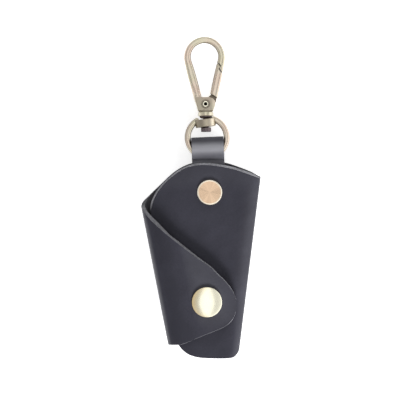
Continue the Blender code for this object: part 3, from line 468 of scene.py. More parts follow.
def cast_finish(name, colour, patina_and_shade_colour):
    """Antique brass plate: soft blotches, a fine cast skin, and darker by a vertex attribute that holds the
    brass's own dark finish in the hollows and painted shade in the dark places named.
    """
    finish = Finish(name, 1.0, 0.3)
    vector = finish.coordinates()
    blotch = finish.noise(vector, 0.005, 3.0, 0.6)
    skin = finish.noise(vector, 0.0004, 3.0, 0.6)
    hollow = finish.attribute("hollow")
    olive, rosy, bright = (
        tuple(channel * share for channel, share in zip(colour, shares))
        for shares in ((0.95, 1.02, 0.94), (1.06, 0.94, 0.98), (1.1, 1.12, 1.18))
    )
    plated = finish.mix(finish.noise(vector, 0.011, 2.0).between(0.4, 0.6), olive, rosy)
    warm = finish.mix(blotch.between(0.3, 0.8), plated, bright)
    finish.feed("Base Color", finish.mix((hollow * 0.85 + skin * 0.12 - 0.04).clamped(), warm, patina_and_shade_colour))
    finish.feed("Roughness", (0.18 + blotch * 0.1 + hollow * 0.3 + skin * 0.08).clamped())
    finish.bump(skin * 0.6 + blotch, 0.00004, 0.35)
    return finish.material


def plate_finish(name, colour, roughness, grain=0.0005):
    """Plain plated metal with faint rubbing marks."""
    finish = Finish(name, 1.0, roughness)
    vector = finish.coordinates()
    haze = finish.noise(vector, 0.004)
    finish.feed("Base Color", finish.shades(haze.between(0.3, 0.7), colour, 0.93, 1.05))
    finish.rubbed(haze, finish.noise(vector, grain, 4.0, 0.6), roughness)
    return finish.material


def capped_finish(name, colour, rim_shade_colour, roughness, centre, radius):
    """Plating over a pressed dome, with painted shade making it browner towards its rim and most on the left.
    """
    finish = Finish(name, 1.0, roughness)
    local, across, out = finish.from_centre(centre)
    haze = finish.noise(local, 0.003)
    painted_rim_shade = ((out - across * 0.5) / (radius * MM) + haze * 0.1).between(0.76, 1.55)
    finish.feed("Base Color", finish.mix(painted_rim_shade, colour, rim_shade_colour))
    finish.feed("Roughness", (haze * 0.1 + (roughness - 0.05)).clamped())
    finish.bump(finish.noise(local, 0.0005), 0.000004, 0.2)
    return finish.material


def turned_finish(name, colour, rim_highlight_colour, roughness, centre, radius):
    """A plated face with faint rays, a painted sheen, and a pale rim, a painted highlight."""
    finish = Finish(name, 1.0, roughness)
    local, _, out = finish.from_centre(centre)
    haze = finish.noise(local, 0.006)
    level = finish.node("ShaderNodeMapping", Vector=local, Scale=(1, 1, 0)).outputs[0]
    round_about = finish.node("ShaderNodeVectorMath", {"operation": "NORMALIZE"}, Vector=level).outputs[0]
    # Lighter and darker wedges round the centre: a painted turned sheen.
    rays = finish.noise(round_about, 0.4, 2.0)
    face = finish.shades(rays.between(0.36, 0.62), colour, 0.93, 1.1)
    # Pale towards the rim: a painted highlight.
    rim = (out / (radius * MM) + haze * 0.04).between(0.88, 0.93)
    finish.feed("Base Color", finish.mix(rim, face, rim_highlight_colour))
    finish.rubbed(haze, finish.noise(local, 0.0008, 4.0, 0.6), roughness)
    return finish.material


def share_point(pair):
    return Vector((pair[0] * SLEEVE_WIDTH, SLEEVE_BOTTOM + pair[1] * SLEEVE_HEIGHT))


def smooth_line(points, steps=10):
    """A smooth curve through the given points."""
    line = [Vector(p) for p in points]
    padded = [2 * line[0] - line[1], *line, 2 * line[-1] - line[-2]]
    result = []
    for i in range(1, len(padded) - 2):
        a, b, c, d = padded[i - 1 : i + 3]
        for k in range(steps):
            t = k / steps
            square, cube = 2 * a - 5 * b + 4 * c - d, 3 * b - a - 3 * c + d
            result.append((2 * b + (c - a) * t + square * t**2 + cube * t**3) / 2)
    return [*result, line[-1]]


def line_x(shares, y):
    """Where a straight fold or edge lies at the height y."""
    top, bottom = share_point(shares[0]), share_point(shares[1])
    return bottom.x + (top.x - bottom.x) * (y - bottom.y) / (top.y - bottom.y)


def ease(t):
    """From 0 to 1 without a kink."""
    t = min(max(t, 0.0), 1.0)
    return t * t * (3 - 2 * t)


def bell(value, middle, width):
    """1 at the middle, and 0.37 a width away from it."""
    return math.exp(-(((value - middle) / width) ** 2))


def reader(pairs):
    """A function that reads a height off a table of (place, height) pairs."""
    table = sorted(pairs, key=lambda pair: pair[0])

    def read(place):
        if place <= table[0][0]:
            return table[0][1]
        for (a, low), (b, high) in zip(table, table[1:]):
            if a <= place <= b:
                return low + (high - low) * (place - a) / max(b - a, 1e-9)
        return table[-1][1]

    return read


def outline_of(shares):
    return smooth_line([share_point(pair) for pair in shares])


def edge_reader(shares, place):
    """Reads an outline's height, by the place that a function gives to its points."""
    return reader([(place(p), p.y) for p in outline_of(shares)])


def arc(centre, radius, start, end, steps):
    """Points of an arc, with angles in degrees."""
    angles = [math.radians(start + (end - start) * k / steps) for k in range(steps + 1)]
    return [Vector((centre[0] + radius * math.cos(a), centre[1] + radius * math.sin(a))) for a in angles]


def soften(points, size, steps=5):
    """Rounds the inner corners of a line of points."""
    line = [Vector(p) for p in points]
    result = [line[0]]
    for before, corner, after in zip(line, line[1:], line[2:]):
        reach = min(size, (before - corner).length / 2, (after - corner).length / 2)
        start = corner + (before - corner).normalized() * reach
        end = corner + (after - corner).normalized() * reach
        for k in range(steps + 1):
            t = k / steps
            result.append(start * (1 - t) ** 2 + corner * 2 * t * (1 - t) + end * t**2)
    return [*result, line[-1]]


def moved(bm, matrix):
    """A bench mesh, after a turn or a shift."""
    bmesh.ops.transform(bm, matrix=matrix, verts=bm.verts)
    return bm


def new_piece(name, bm, matrix=Matrix.Identity(4), sharp=40.0):
    """Sets a bench mesh down in the row frame, in metres."""
    mesh = bpy.data.meshes.new(name)
    moved(bm, Matrix.Scale(MM, 4) @ matrix).to_mesh(mesh)
    bm.free()
    mesh.shade_smooth()
    mesh.set_sharp_from_angle(angle=math.radians(sharp))
    piece = bpy.data.objects.new(name, mesh)
    bpy.context.scene.collection.objects.link(piece)
    return piece


def lathe(profile, steps):
    """Turns a line of radii and heights about Z."""
    bm = bmesh.new()
    corners = [bm.verts.new((max(p[0], 0.0), 0, p[1])) for p in profile]
    edges = [bm.edges.new(pair) for pair in zip(corners, corners[1:])]
    bmesh.ops.spin(
        bm, geom=corners + edges, cent=(0, 0, 0), axis=(0, 0, 1), angle=2 * math.pi, steps=steps,
        use_merge=True,
    )
    bmesh.ops.remove_doubles(bm, verts=bm.verts, dist=0.0005)
    bmesh.ops.recalc_face_normals(bm, faces=bm.faces)
    return bm


def drill(radius):
    """What a drill takes away, along Z."""
    line = [(0, BORE_REACH), (radius, BORE_REACH), (radius, -BORE_REACH), (0, -BORE_REACH)]
    return lathe(line, DRILL_STEPS)


def extruded(outline, low, high):
    """A flat outline raised from one level to another."""
    bm = bmesh.new()
    face = bm.faces.new([bm.verts.new((p[0], p[1], low)) for p in outline])
    raised = bmesh.ops.extrude_face_region(bm, geom=[face], use_keep_orig=True)["geom"]
    verts = [item for item in raised if isinstance(item, bmesh.types.BMVert)]
    bmesh.ops.translate(bm, verts=verts, vec=(0, 0, high - low))
    bmesh.ops.recalc_face_normals(bm, faces=bm.faces)
    return bm


def rounded(bm, size, segments):
    """Bevels the level edges of an extruded plate."""
    rims = [edge for edge in bm.edges if abs(edge.verts[0].co.z - edge.verts[1].co.z) < 0.01]
    bmesh.ops.bevel(bm, geom=rims, offset=size, affect="EDGES", segments=segments, profile=0.5, material=-1)
    return bm


def swept(section, stations):
    """Draws a closed section through a row of matrices."""
    bm = bmesh.new()
    ring = [bm.verts.new(stations[0] @ Vector(p)) for p in section]
    edges = [bm.edges.new((ring[i], ring[(i + 1) % len(ring)])) for i in range(len(ring))]
    first = list(edges)
    for before, after in zip(stations, stations[1:]):
        made = bmesh.ops.extrude_edge_only(bm, edges=edges)["geom"]
        verts = [item for item in made if isinstance(item, bmesh.types.BMVert)]
        edges = [item for item in made if isinstance(item, bmesh.types.BMEdge)]
        bmesh.ops.transform(bm, matrix=after @ before.inverted(), verts=verts)
    bmesh.ops.contextual_create(bm, geom=first)
    bmesh.ops.contextual_create(bm, geom=edges)
    bmesh.ops.recalc_face_normals(bm, faces=bm.faces)
    return bm


def stations_along(points):
    """Matrices along a line of points: X is across, Y is up, Z is along."""
    line = [Vector((p[0], p[1], p[2] if len(p) > 2 else 0)) for p in points]
    result = []
    for i, point in enumerate(line):
        along = (line[min(i + 1, len(line) - 1)] - line[max(i - 1, 0)]).normalized()
        across = Vector((0, 0, 1)).cross(along).normalized()
        turn = Matrix((across, along.cross(across), along)).transposed()
        result.append(Matrix.Translation(point) @ turn.to_4x4())
    return result


def round_section(half_width, half_height, power=1.0, steps=28):
    """A circle, or with a lower power a rounded square."""
    points = []
    for k in range(steps):
        turn = (math.cos(2 * math.pi * k / steps), math.sin(2 * math.pi * k / steps))
        x, y = (math.copysign(abs(value) ** power, value) for value in turn)
        points.append((half_width * x, half_height * y, 0))
    return points


def axes_of(joint, lean, shift=(0, 0, 0)):
    """The bench axes that lie on a joint, in millimetres."""
    place = Vector(JOINTS[joint]["pos_m"]) / MM
    return Matrix.Translation(place) @ Matrix.Rotation(lean, 4, "Z") @ Matrix.Translation(shift)


def lean_of(joint, square=0.0):
    """Which way a joint's axis points in the plane, or the way square to it."""
    axis = JOINTS[joint]["axis"]
    return math.atan2(axis[1], axis[0]) - square


def crown_end(side, degrees):
    """Where the crown ends on the left, -1, or on the right, 1."""
    angle = math.radians(degrees)
    return Vector((side * CROWN_RADIUS * math.cos(angle), CROWN_RISE - CROWN_RADIUS * math.sin(angle)))


GATE_DOWN = Vector((-math.sin(math.radians(GATE_ANGLE)), -math.cos(math.radians(GATE_ANGLE)), 0))
GATE_ACROSS = Vector((-GATE_DOWN.y, GATE_DOWN.x, 0))
GATE_START = crown_end(1, GATE_ANGLE).to_3d()
STRAP_LEAN = lean_of("eye_swing")
HOOK_LEAN = lean_of("hook_swivel", math.pi / 2)
EYE_TURN = Matrix.Rotation(math.radians(EYE_LEAN) - STRAP_LEAN, 4, "Z")
EYE_AXES = axes_of("eye_swing", STRAP_LEAN, (0, EYE_RADIUS, 0)) @ EYE_TURN
STRAP_AXES = axes_of("eye_swing", STRAP_LEAN, (0, EYE_RADIUS - EYE_RUN, 0))
HOOK_AXES = axes_of("hook_swivel", HOOK_LEAN)
UPRIGHT = Matrix.Rotation(-math.pi / 2, 4, "X")
ON_PIN = Matrix.Translation((0, PIN_RISE, 0))


def turned_place(node):
    """A turned node's middle, radius, lowest and highest level, in millimetres."""
    low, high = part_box(node)
    return (low + high) / 2 / MM, (high.x - low.x) / 2 / MM, low.z / MM, high.z / MM


def set_down(piece, body, node, slot, *materials):
    """Dresses a finished piece, and says what it rides on and what it stands for; the finish's slot name it
    is given is not used.
    """
    dress(piece, *materials)
    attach(piece, body)
    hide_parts(node)


def baked(piece):
    """Applies a piece's modifiers to its mesh."""
    bpy.context.view_layer.update()
    depsgraph = bpy.context.evaluated_depsgraph_get()
    mesh = bpy.data.meshes.new_from_object(piece.evaluated_get(depsgraph))
    piece.modifiers.clear()
    old = piece.data
    piece.data = mesh
    mesh.name = piece.name
    bpy.data.meshes.remove(old)


def modify(piece, name, kind, **settings):
    """Gives a piece one modifier."""
    modifier = piece.modifiers.new(name, kind)
    for key, value in settings.items():
        setattr(modifier, key, value)


def cast(name, body, node, look, bm, steps, matrix, dark):
    """Joins and cuts bench shapes, melts them into one brass skin with soft corners, and sets it down."""
    base = new_piece(name, bm)
    helpers = []
    for index, (operation, shape) in enumerate(steps):
        helper = new_piece(f"{name}_{index}", shape)
        helpers.append(helper)
        modify(base, helper.name, "BOOLEAN", operation=operation, object=helper, solver="EXACT")
    modify(base, "skin", "REMESH", mode="VOXEL", voxel_size=look.casting_grain)
    modify(base, "settle", "SMOOTH", factor=0.5, iterations=6)
    baked(base)
    for helper in helpers:
        bpy.data.objects.remove(helper, do_unlink=True)
    mark_patina_and_shade(base.data, dark)
    base.data.transform(Matrix.Scale(MM, 4) @ matrix @ Matrix.Scale(1 / MM, 4))
    base.data.shade_smooth()
    set_down(base, body, node, "antique_brass", cast_finish(f"{body}_antique_brass", look.brass, look.patina_and_shade_colour))


def mark_patina_and_shade(mesh, dark):
    """Writes at each vertex the share of the brass's own dark finish in the hollows of the skin and of
    painted shade in the dark places named.
    """
    bm = bmesh.new()
    bm.from_mesh(mesh)
    bm.verts.ensure_lookup_table()
    depth = []
    for vert in bm.verts:
        around = [edge.other_vert(vert).co for edge in vert.link_edges]
        middle = sum(around, Vector()) / max(len(around), 1)
        reach = sum((co - vert.co).length for co in around) / max(len(around), 1)
        depth.append((middle - vert.co).dot(vert.normal) / max(reach, 1e-9))
    for _ in range(3):
        depth = [
            (depth[vert.index] + sum(depth[edge.other_vert(vert).index] for edge in vert.link_edges))
            / (1 + len(vert.link_edges))
            for vert in bm.verts
        ]
    shares = [max(value * 14.0, dark(vert.co / MM, vert.normal)) for value, vert in zip(depth, bm.verts)]
    bm.free()
    attribute = mesh.attributes.new("hollow", "FLOAT", "POINT")
    for item, value in zip(attribute.data, shares):
        item.value = min(max(value, 0.0), 1.0)


def facing(normal, towards, start, end):
    """How far a skin faces a direction in the plane."""
    flat = Vector((towards.x, towards.y, 0)).normalized()
    return ease((normal.dot(flat) - start) / (end - start))


def beside_gate(co):
    """How far down the gate's middle line a place lies from the crown's right end, and how far across."""
    offset = Vector((co.x, co.y, 0)) - GATE_START
    return offset.dot(GATE_DOWN), offset.dot(GATE_ACROSS)


def seam_shade(co, normal):
    """Painted shade on the cut between nose and gate, whose skin doesn't face out from the wire's middle."""
    down, out = beside_gate(co)
    if co.x < 0 or not 0.6 < down < 7.5:
        return 0.0
    radial = (GATE_ACROSS * out + Vector((0, 0, co.z))).normalized()
    return ease((0.84 - normal.dot(radial)) / 0.22)


def bow_patina_and_shade(co, normal):
    """Dark inside the hook's loop, the brass's own dark finish together with painted shade, and painted shade
    in the seam between nose and gate.
    """
    if co.y < CHEEK_TOP:
        return 0.0
    inwards = Vector((-co.x, min(max(co.y, 16.0), CROWN_RISE) - co.y, 0))
    return max(facing(normal, inwards, 0.72, 0.88), seam_shade(co, normal))


def hook_patina_and_shade(co, normal):
    """Painted shade in the collar's groove, in the gate's slot, round the pin and on the left of the plate.
    """
    if COLLAR_HIGH + 0.05 < co.y < GROOVE_TOP - 0.02:
        return 0.9
    middle = math.hypot(co.x, co.y - PIN_RISE)
    if abs(co.z) < SLOT_DEPTH / 2 + 0.1 and co.x > -SLOT_RADIUS and co.y > GROOVE_TOP + 0.3 and middle > 1.6:
        return max(bow_patina_and_shade(co, normal), 0.9 if co.y < CHEEK_TOP + 1 else 0.0)
    if middle < 2.2 and abs(co.z) < 3.3:
        return 0.75
    if GROOVE_TOP < co.y < CHEEK_TOP and normal.z > 0.8:
        return 0.52 * (1 - 0.9 * ease((co.x - 2.6) / 1.6))
    return bow_patina_and_shade(co, normal)


def gate_patina_and_shade(co, normal):
    """Painted shade on the tang and on the gate's slanted end, dark inside the loop as the brass's own finish
    together with painted shade, and painted shade in the seam.
    """
    if math.hypot(co.x, co.y - PIN_RISE) < 6.7 and normal.z > 0.7 and co.z < 0.2:
        return 0.95
    if facing(normal, Vector((-1, -2, 0)), 0.3, 0.7) > 0.1 and beside_gate(co)[0] > GATE_LENGTH - 1:
        return 0.8
    return bow_patina_and_shade(co, normal)


def eye_patina_and_shade(co, normal):
    """Dark on the ring's inner side, the brass's own finish together with painted shade, and painted shade on
    its lower left, on the left of the boss and at its ends.
    """
    round_share = math.hypot(co.x / BOSS[0], co.z / BOSS[1])
    beside = abs(co.y - BOSS_RISE) < BOSS[2] / 2 + 0.05 and abs(co.x) < BOSS[0] / 2 + 0.03
    if beside and 0.44 < round_share < 0.525:
        ends = 0.8 * ease((abs(co.x) - 4.6) / 0.3)
        return 0.75 * facing(normal, Vector((-1, 0, 0)), -0.55, 0.35) + ends
    inner = 0.9 * facing(normal, -co, 0.74, 0.98)
    return max(inner, 0.75 * facing(normal, Vector((-1, 0.5, 0)), 0.35, 0.85) * ease(-co.x / 4))


def dress(piece, *materials):
    indices = [polygon.material_index for polygon in piece.data.polygons]
    piece.data.materials.clear()
    for material in materials:
        piece.data.materials.append(material)
    if len(materials) > 1:
        piece.data.polygons.foreach_set("material_index", indices)
    return piece


def boundary(columns, rows):
    """The grid places round a sheet's rim, in order, each with its side."""
    loop = [((i, 0), "bottom") for i in range(columns)]
    loop += [((columns, j), "end") for j in range(rows)]
    loop += [((i, rows), "top") for i in range(columns, 0, -1)]
    return loop + [((0, j), "start") for j in range(rows, 0, -1)]


class Skin:
    """One sheet of leather: an outline laid out flat, the fold it is bent to, and its cut rims."""

    def __init__(self, surface, spots, trim, painted_rim_light, pull_and_painted_light, thickness, side=1):
        self.surface = surface
        self.spots = spots
        self.painted_rim_light = painted_rim_light
        self.pull_and_painted_light = pull_and_painted_light
        self.thickness = thickness
        self.side = side
        self.columns, self.rows = len(spots) - 1, len(spots[0]) - 1
        self.rims = []
        for (i, j), name in boundary(self.columns, self.rows):
            if not self.rims or (spots[i][j] - self.rims[-1][0]).length > 0.001:
                self.rims.append([spots[i][j], trim(name, spots[i][j])])
        self.tree = KDTree(len(self.rims))
        for k, (spot, _) in enumerate(self.rims):
            self.tree.insert((*spot, 0), k)
        self.tree.balance()

    def trimmed(self, spot, inner):
        """Draws a flat place in from the rim, so that the cut slants."""
        _, k, distance = self.tree.find((*spot, 0))
        width = max(-self.rims[k][1] if inner else self.rims[k][1], 0.0)
        if not width or distance > TRIM_REACH:
            return spot
        along = self.rims[(k + 1) % len(self.rims)][0] - self.rims[k - 1][0]
        inward = Vector((-along.y, along.x)).normalized()
        if spot.x - self.spots[0][0].x < 0.001:
            inward.x = 0.0
        return spot + inward * width * (1 - distance / TRIM_REACH)

    def folded(self, spot, inner):
        """Where a flat place of either side lies on the folded sheet."""
        spot = self.trimmed(spot, inner)
        here = Vector(self.surface(*spot))
        if not inner:
            return here
        across, along = (
            Vector(self.surface(*(spot + step))) - Vector(self.surface(*(spot - step)))
            for step in (Vector((SLOPE_STEP, 0)), Vector((0, SLOPE_STEP)))
        )
        return here - across.cross(along).normalized() * self.side * self.thickness

    def build(self):
        """Both sides as grids, bridged along the rim."""
        bm = bmesh.new()
        flat = bm.loops.layers.uv.new("flat")
        pull_and_painted_light = bm.verts.layers.float.new("pull_and_painted_light")
        painted_rim_light = bm.verts.layers.float.new("painted_rim_light")
        weight = bm.edges.layers.float.new("bevel_weight_edge")
        crease = bm.edges.layers.float.new("crease_edge")
        names = dict(boundary(self.columns, self.rows))
        rings = []
        for inner in (False, True):
            made = bmesh.ops.create_grid(bm, x_segments=self.columns, y_segments=self.rows, size=0.5)["verts"]
            faces = list({face for vert in made for face in vert.link_faces})
            places = {}
            for vert in made:
                i, j = round((vert.co.x + 0.5) * self.columns), round((vert.co.y + 0.5) * self.rows)
                spot = self.spots[i][j]
                places[vert] = spot
                vert[pull_and_painted_light] = self.pull_and_painted_light(*spot)
                vert[painted_rim_light] = self.painted_rim_light(names[i, j], spot) if (i, j) in names else 0.0
            for vert, spot in places.items():
                vert.co = self.folded(spot, inner)
            for face in faces:
                face.material_index = 2 * inner
                for loop in face.loops:
                    loop[flat].uv = places[loop.vert] * MM
            if inner == (self.side > 0):
                bmesh.ops.reverse_faces(bm, faces=faces)
            bmesh.ops.remove_doubles(bm, verts=made, dist=0.002)
            start = {vert for vert in made if vert.is_valid and places[vert] in self.spots[0]}
            rim = [edge for face in faces if face.is_valid for edge in face.edges if edge.is_boundary]
            rings.append(rim)
            for edge in rim:
                seam = edge.verts[0] in start and edge.verts[1] in start
                edge[crease] = 1.0 if seam else 0.0
                edge[weight] = 0.0 if seam else 1.0
        for face in bmesh.ops.bridge_loops(bm, edges=rings[0] + rings[1])["faces"]:
            face.material_index = 1
        bmesh.ops.recalc_face_normals(bm, faces=bm.faces)
        return bm


def leather_materials(kind, look, pull_and_highlight_share, cut_share):
    """Grain, cut edge and flesh, in the order of the sheets' material numbers."""
    return (
        leather_finish(f"{kind}_grain", look.colour, scaled(look.pull_and_highlight_colour, pull_and_highlight_share)),
        cut_finish(f"{kind}_cut_edge", scaled(look.cut_colour, cut_share)),
        flesh_finish(f"{kind}_flesh", look.flesh_colour),
    )


def leather_piece(name, bm, softness, materials):
    piece = dress(new_piece(name, bm, sharp=180.0), *materials)
    modify(piece, "edges", "BEVEL", width=softness, segments=2, limit_method="WEIGHT")
    modify(piece, "fine", "SUBSURF", levels=1, render_levels=1)
    return piece


def dent(x, y, centre, radius):
    """The leather pinched down round a fastener."""
    distance = math.hypot(x - centre.x, y - centre.y)
    return -DENT_DEPTH * (1 - ease((distance - radius) / (0.5 * radius)))


def drape(x, y):
    """The leather's own slight waves."""
    return 0.18 * noise.noise(Vector((x / 17.0, y / 23.0, 4.2)))


def measured(line):
    """Adds to each point of a profile its length along it."""
    result, total = [(0.0, line[0])], 0.0
    for a, b in zip(line, line[1:]):
        total += (b - a).length
        result.append((total, b))
    return result


def profile_readers(table):
    """How far out and how high a profile lies, by the length along it."""
    return (reader([(length, point[axis]) for length, point in table]) for axis in (0, 1))


def quarter(across, rise):
    """A quarter of an ellipse, from the flat round to the side."""
    angles = [math.pi / 2 * k / QUARTER_STEPS for k in range(QUARTER_STEPS + 1)]
    return [Vector((across * math.sin(a), rise * math.cos(a))) for a in angles]


def flap_skin(thickness):
    """The flap, its fold and the left part of the back, as one sheet."""
    snap = turned_place("snap_cap")[0]
    snap_run = snap.x - line_x(LEFT_FOLD_SHARES, snap.y)

    def fold_run(p):
        return p.x - line_x(LEFT_FOLD_SHARES, p.y)

    outline = [Vector((fold_run(p), p.y)) for p in outline_of(FLAP_SHARES)]
    tip = max(range(len(outline)), key=lambda i: outline[i].x)
    upper, lower = reader(outline[: tip + 1]), reader(outline[tip:])
    back_top = edge_reader(BACK_TOP_SHARES, fold_run)
    foot = [(fold_run(p), p.y) for p in outline_of(BACK_BOTTOM_SHARES)]
    back_foot = reader([(0.0, share_point(LEFT_FOLD_SHARES[1]).y), *foot])
    low = [Vector((FOLD_RUN - p.x, FOLD_LEVEL - p.y)) for p in quarter(FOLD_RUN, FOLD_LEVEL)]
    high = [Vector((ARCH_RUN - p.x, FOLD_LEVEL + p.y)) for p in quarter(ARCH_RUN, CREST - FOLD_LEVEL)]
    high.reverse()
    profile = [Vector((SEAM_RUN, 0)), *low, *high[1:]]
    reach = outline[tip].x - ARCH_RUN
    for k in range(1, FLAP_STEPS + 1):
        run = ARCH_RUN + reach * k / FLAP_STEPS
        level = CREST - (CREST - FLAP_TOP) * ease((run - ARCH_RUN) / (snap_run - SNAP_SEAT - ARCH_RUN))
        droop = FLAP_DROOP * max(0.0, (run - snap_run - SNAP_SEAT) / SNAP_SEAT) ** 2
        profile.append(Vector((run, level - droop)))
    table = measured(profile)
    run_of, level_of = profile_readers(table)
    side = table[len(low)][0]
    arch_end = table[len(low) + len(high) - 1][0]
    total = table[-1][0]

    def surface(s, y):
        run = run_of(s)
        x = line_x(LEFT_FOLD_SHARES, y) + run
        soft = ease((s - side - 2) / 8)
        return x, y, level_of(s) + (dent(x, y, snap, SNAP_DENT) + drape(x, y)) * soft

    stops = [side * k / SIDE_COLUMNS for k in range(SIDE_COLUMNS)]
    stops += [side + (arch_end - side) * k / SIDE_COLUMNS for k in range(SIDE_COLUMNS)]
    turns = [math.pi / 2 * k / FLAP_COLUMNS for k in range(FLAP_COLUMNS + 1)]
    stops += [arch_end + (total - arch_end) * math.sin(turn) for turn in turns]
    spots = []
    for s in stops:
        run = run_of(s)
        top, bottom = (upper(run), lower(run)) if s > side else (back_top(run), back_foot(run))
        spots.append([Vector((s, bottom + (top - bottom) * j / FLAP_ROWS)) for j in range(FLAP_ROWS + 1)])

    def trim(name, spot):
        if name == "start":
            return 0.0
        if name == "top" and spot.x > side:
            run = run_of(spot.x)
            return 0.35 + ease((run - 0.5) / 5) * max(FLAP_SKIVE - 0.045 * max(run - 7, 0), 0)
        return FLAP_SLANT if spot.x > side else BACK_SLANT

    # Painted highlight on the flap's upper cut rim, growing towards the tip, and on the cut round the tip.
    def painted_rim_light(name, spot):
        run = run_of(spot.x)
        if spot.x < side:
            return 0.0
        return 0.4 + 0.6 * ease((run - 24) / 12) if name == "top" else ease((run - 0.8 * outline[tip].x) / 5)

    # Painted light on the flap: a pale band along the left fold, partly oil drawn from the bend and partly a
    # painted highlight; painted shade some 11 mm past the fold; a painted highlight over the middle, a little
    # less towards the tip; painted shade towards the bottom.
    def pull_and_painted_light(s, y):
        out = s - side
        band = bell(out, 0.4, 3.0) * (0.5 + 0.33 * ease((5 - y) / 25))
        middle = 0.08 * ease((out - 13) / 12) - 0.03 * ease((out - 32) / 10) - 0.06 * ease((-58 - y) / 8)
        return band - 0.2 * bell(out, 11, 5.5) + middle

    return Skin(surface, spots, trim, painted_rim_light, pull_and_painted_light, thickness)


def body_skin(thickness):
    """The right part of the back, the right fold and the front panel, as one sheet."""
    rivet = turned_place("rivet_head")[0]
    low = [Vector((p.x - LOW_FOLD_RUN, FOLD_RADIUS - p.y)) for p in quarter(LOW_FOLD_RUN, FOLD_RADIUS)]
    high = [Vector((p.x - HIGH_FOLD_RUN, FOLD_RADIUS + p.y)) for p in quarter(HIGH_FOLD_RUN, FOLD_RADIUS)]
    high.reverse()
    table = measured(low + high[1:])
    length = table[-1][0]
    out_of, level_of = profile_readers(table)
    half = table[len(low) - 1][0]

    def seam(y):
        return line_x(LEFT_FOLD_SHARES, y) + SEAM_RUN

    def back_width(y):
        return line_x(RIGHT_FOLD_SHARES, y) - LOW_FOLD_RUN - seam(y)

    def panel_width(y):
        return line_x(RIGHT_FOLD_SHARES, y) - HIGH_FOLD_RUN - line_x(PANEL_EDGE_SHARES, y)

    def surface(s, y):
        s -= SEAM_RUN
        width = back_width(y)
        if s < width:
            return seam(y) + s, y, 0.0
        right = line_x(RIGHT_FOLD_SHARES, y)
        if s < width + length:
            return right + out_of(s - width), y, level_of(s - width)
        x = right - HIGH_FOLD_RUN - (s - width - length)
        drop_start, edge = line_x(PANEL_DROP_SHARES, y), line_x(PANEL_EDGE_SHARES, y)
        level = PANEL_TOP - PANEL_DROP * ease((drop_start - x) / (drop_start - edge))
        return x, y, level + (dent(x, y, rivet, RIVET_DENT) + drape(x, y)) * ease((s - width - length) / 8)

    def arc_length(line, share):
        return measured(line)[round(share * (len(line) - 1))][0]

    def round_fold(p, run):
        """How far short of the fold's start a place lies, and past it, its share of the bend."""
        past = p.x - line_x(RIGHT_FOLD_SHARES, p.y) + run
        return -past, math.asin(min(max(past, 0.0) / run, 1.0)) / (math.pi / 2)

    def back_place(p):
        short, bend = round_fold(p, LOW_FOLD_RUN)
        return 1 + bend if bend else 1 - short / back_width(p.y)

    def front_place(p):
        short, bend = round_fold(p, HIGH_FOLD_RUN)
        return -bend if bend else short / panel_width(p.y)

    back = edge_reader(BACK_TOP_SHARES, back_place), edge_reader(BACK_BOTTOM_SHARES, back_place)
    front = edge_reader(FRONT_TOP_SHARES, front_place), edge_reader(FRONT_BOTTOM_SHARES, front_place)
    parts = (
        (BACK_COLUMNS, back, 0, lambda share, y: back_width(y) * share),
        (FOLD_COLUMNS, back, 1, lambda share, y: back_width(y) + arc_length(low, share)),
        (FOLD_COLUMNS, front, -1, lambda share, y: back_width(y) + half + arc_length(high, share)),
        (PANEL_COLUMNS, front, 0, lambda share, y: back_width(y) + length + panel_width(y) * share),
    )
    columns = [(k / count, *part) for count, *part in parts for k in range(count)]
    columns.append((1.0, *parts[-1][1:]))
    spots = []
    for share, edges, shift, run in columns:
        top, bottom = (edge(share + shift) for edge in edges)
        heights = [bottom + (top - bottom) * j / BODY_ROWS for j in range(BODY_ROWS + 1)]
        spots.append([Vector((SEAM_RUN + run(share, y), y)) for y in heights])

    def trim(name, spot):
        if name == "start":
            return 0.0
        if spot.x - SEAM_RUN - back_width(spot.y) <= half:
            return BACK_SLANT
        return PANEL_SKIVE if name == "top" else PANEL_SLANT

    # Painted highlight on the front panel's top cut rim.
    def painted_rim_light(name, spot):
        return float(name == "top" and spot.x - SEAM_RUN - back_width(spot.y) > half)

    # Painted light on the body: a pale line along the right fold, partly oil drawn from the bend and partly a
    # painted highlight; a painted sheen band on the front panel near the fold, fainter towards the top; a
    # little lighter towards the top, and painted shade towards the bottom.
    def pull_and_painted_light(s, y):
        out = s - SEAM_RUN - back_width(y) - half
        ends = 0.035 * ease((y - 2) / 8) - 0.15 * ease((-60 - y) / 12) * ease((out - 4) / 8)
        crest = 4.6 - 2.0 * ease((-35 - y) / 25)
        band = 0.085 * (1 - 0.7 * ease((y - 2) / 8)) * bell(out, crest, 3.3)
        return 0.16 * bell(out, 0.4, 1.2) + band + ends

    return Skin(surface, spots, trim, painted_rim_light, pull_and_painted_light, thickness, side=-1)


def ribbon(line, width, matrix, pulled_and_lit):
    """A strip as wide as the strap along a line, with its flat lengths kept as UVs."""
    bm = bmesh.new()
    bmesh.ops.create_grid(bm, x_segments=len(line) - 1, y_segments=STRAP_ROWS, size=0.5)
    flat = bm.loops.layers.uv.new("flat")
    pull_and_painted_light = bm.verts.layers.float.new("pull_and_painted_light")
    table = measured(line)
    places = {}
    for vert in bm.verts:
        length, point = table[round((vert.co.x + 0.5) * (len(line) - 1))]
        across = vert.co.y * width
        places[vert] = Vector((length, across)) * MM
        vert.co = matrix @ Vector((across, point.x, point.y))
        vert[pull_and_painted_light] = pulled_and_lit(point.x, point.y)
    for face in bm.faces:
        for loop in face.loops:
            loop[flat].uv = places[loop.vert]
    return bm


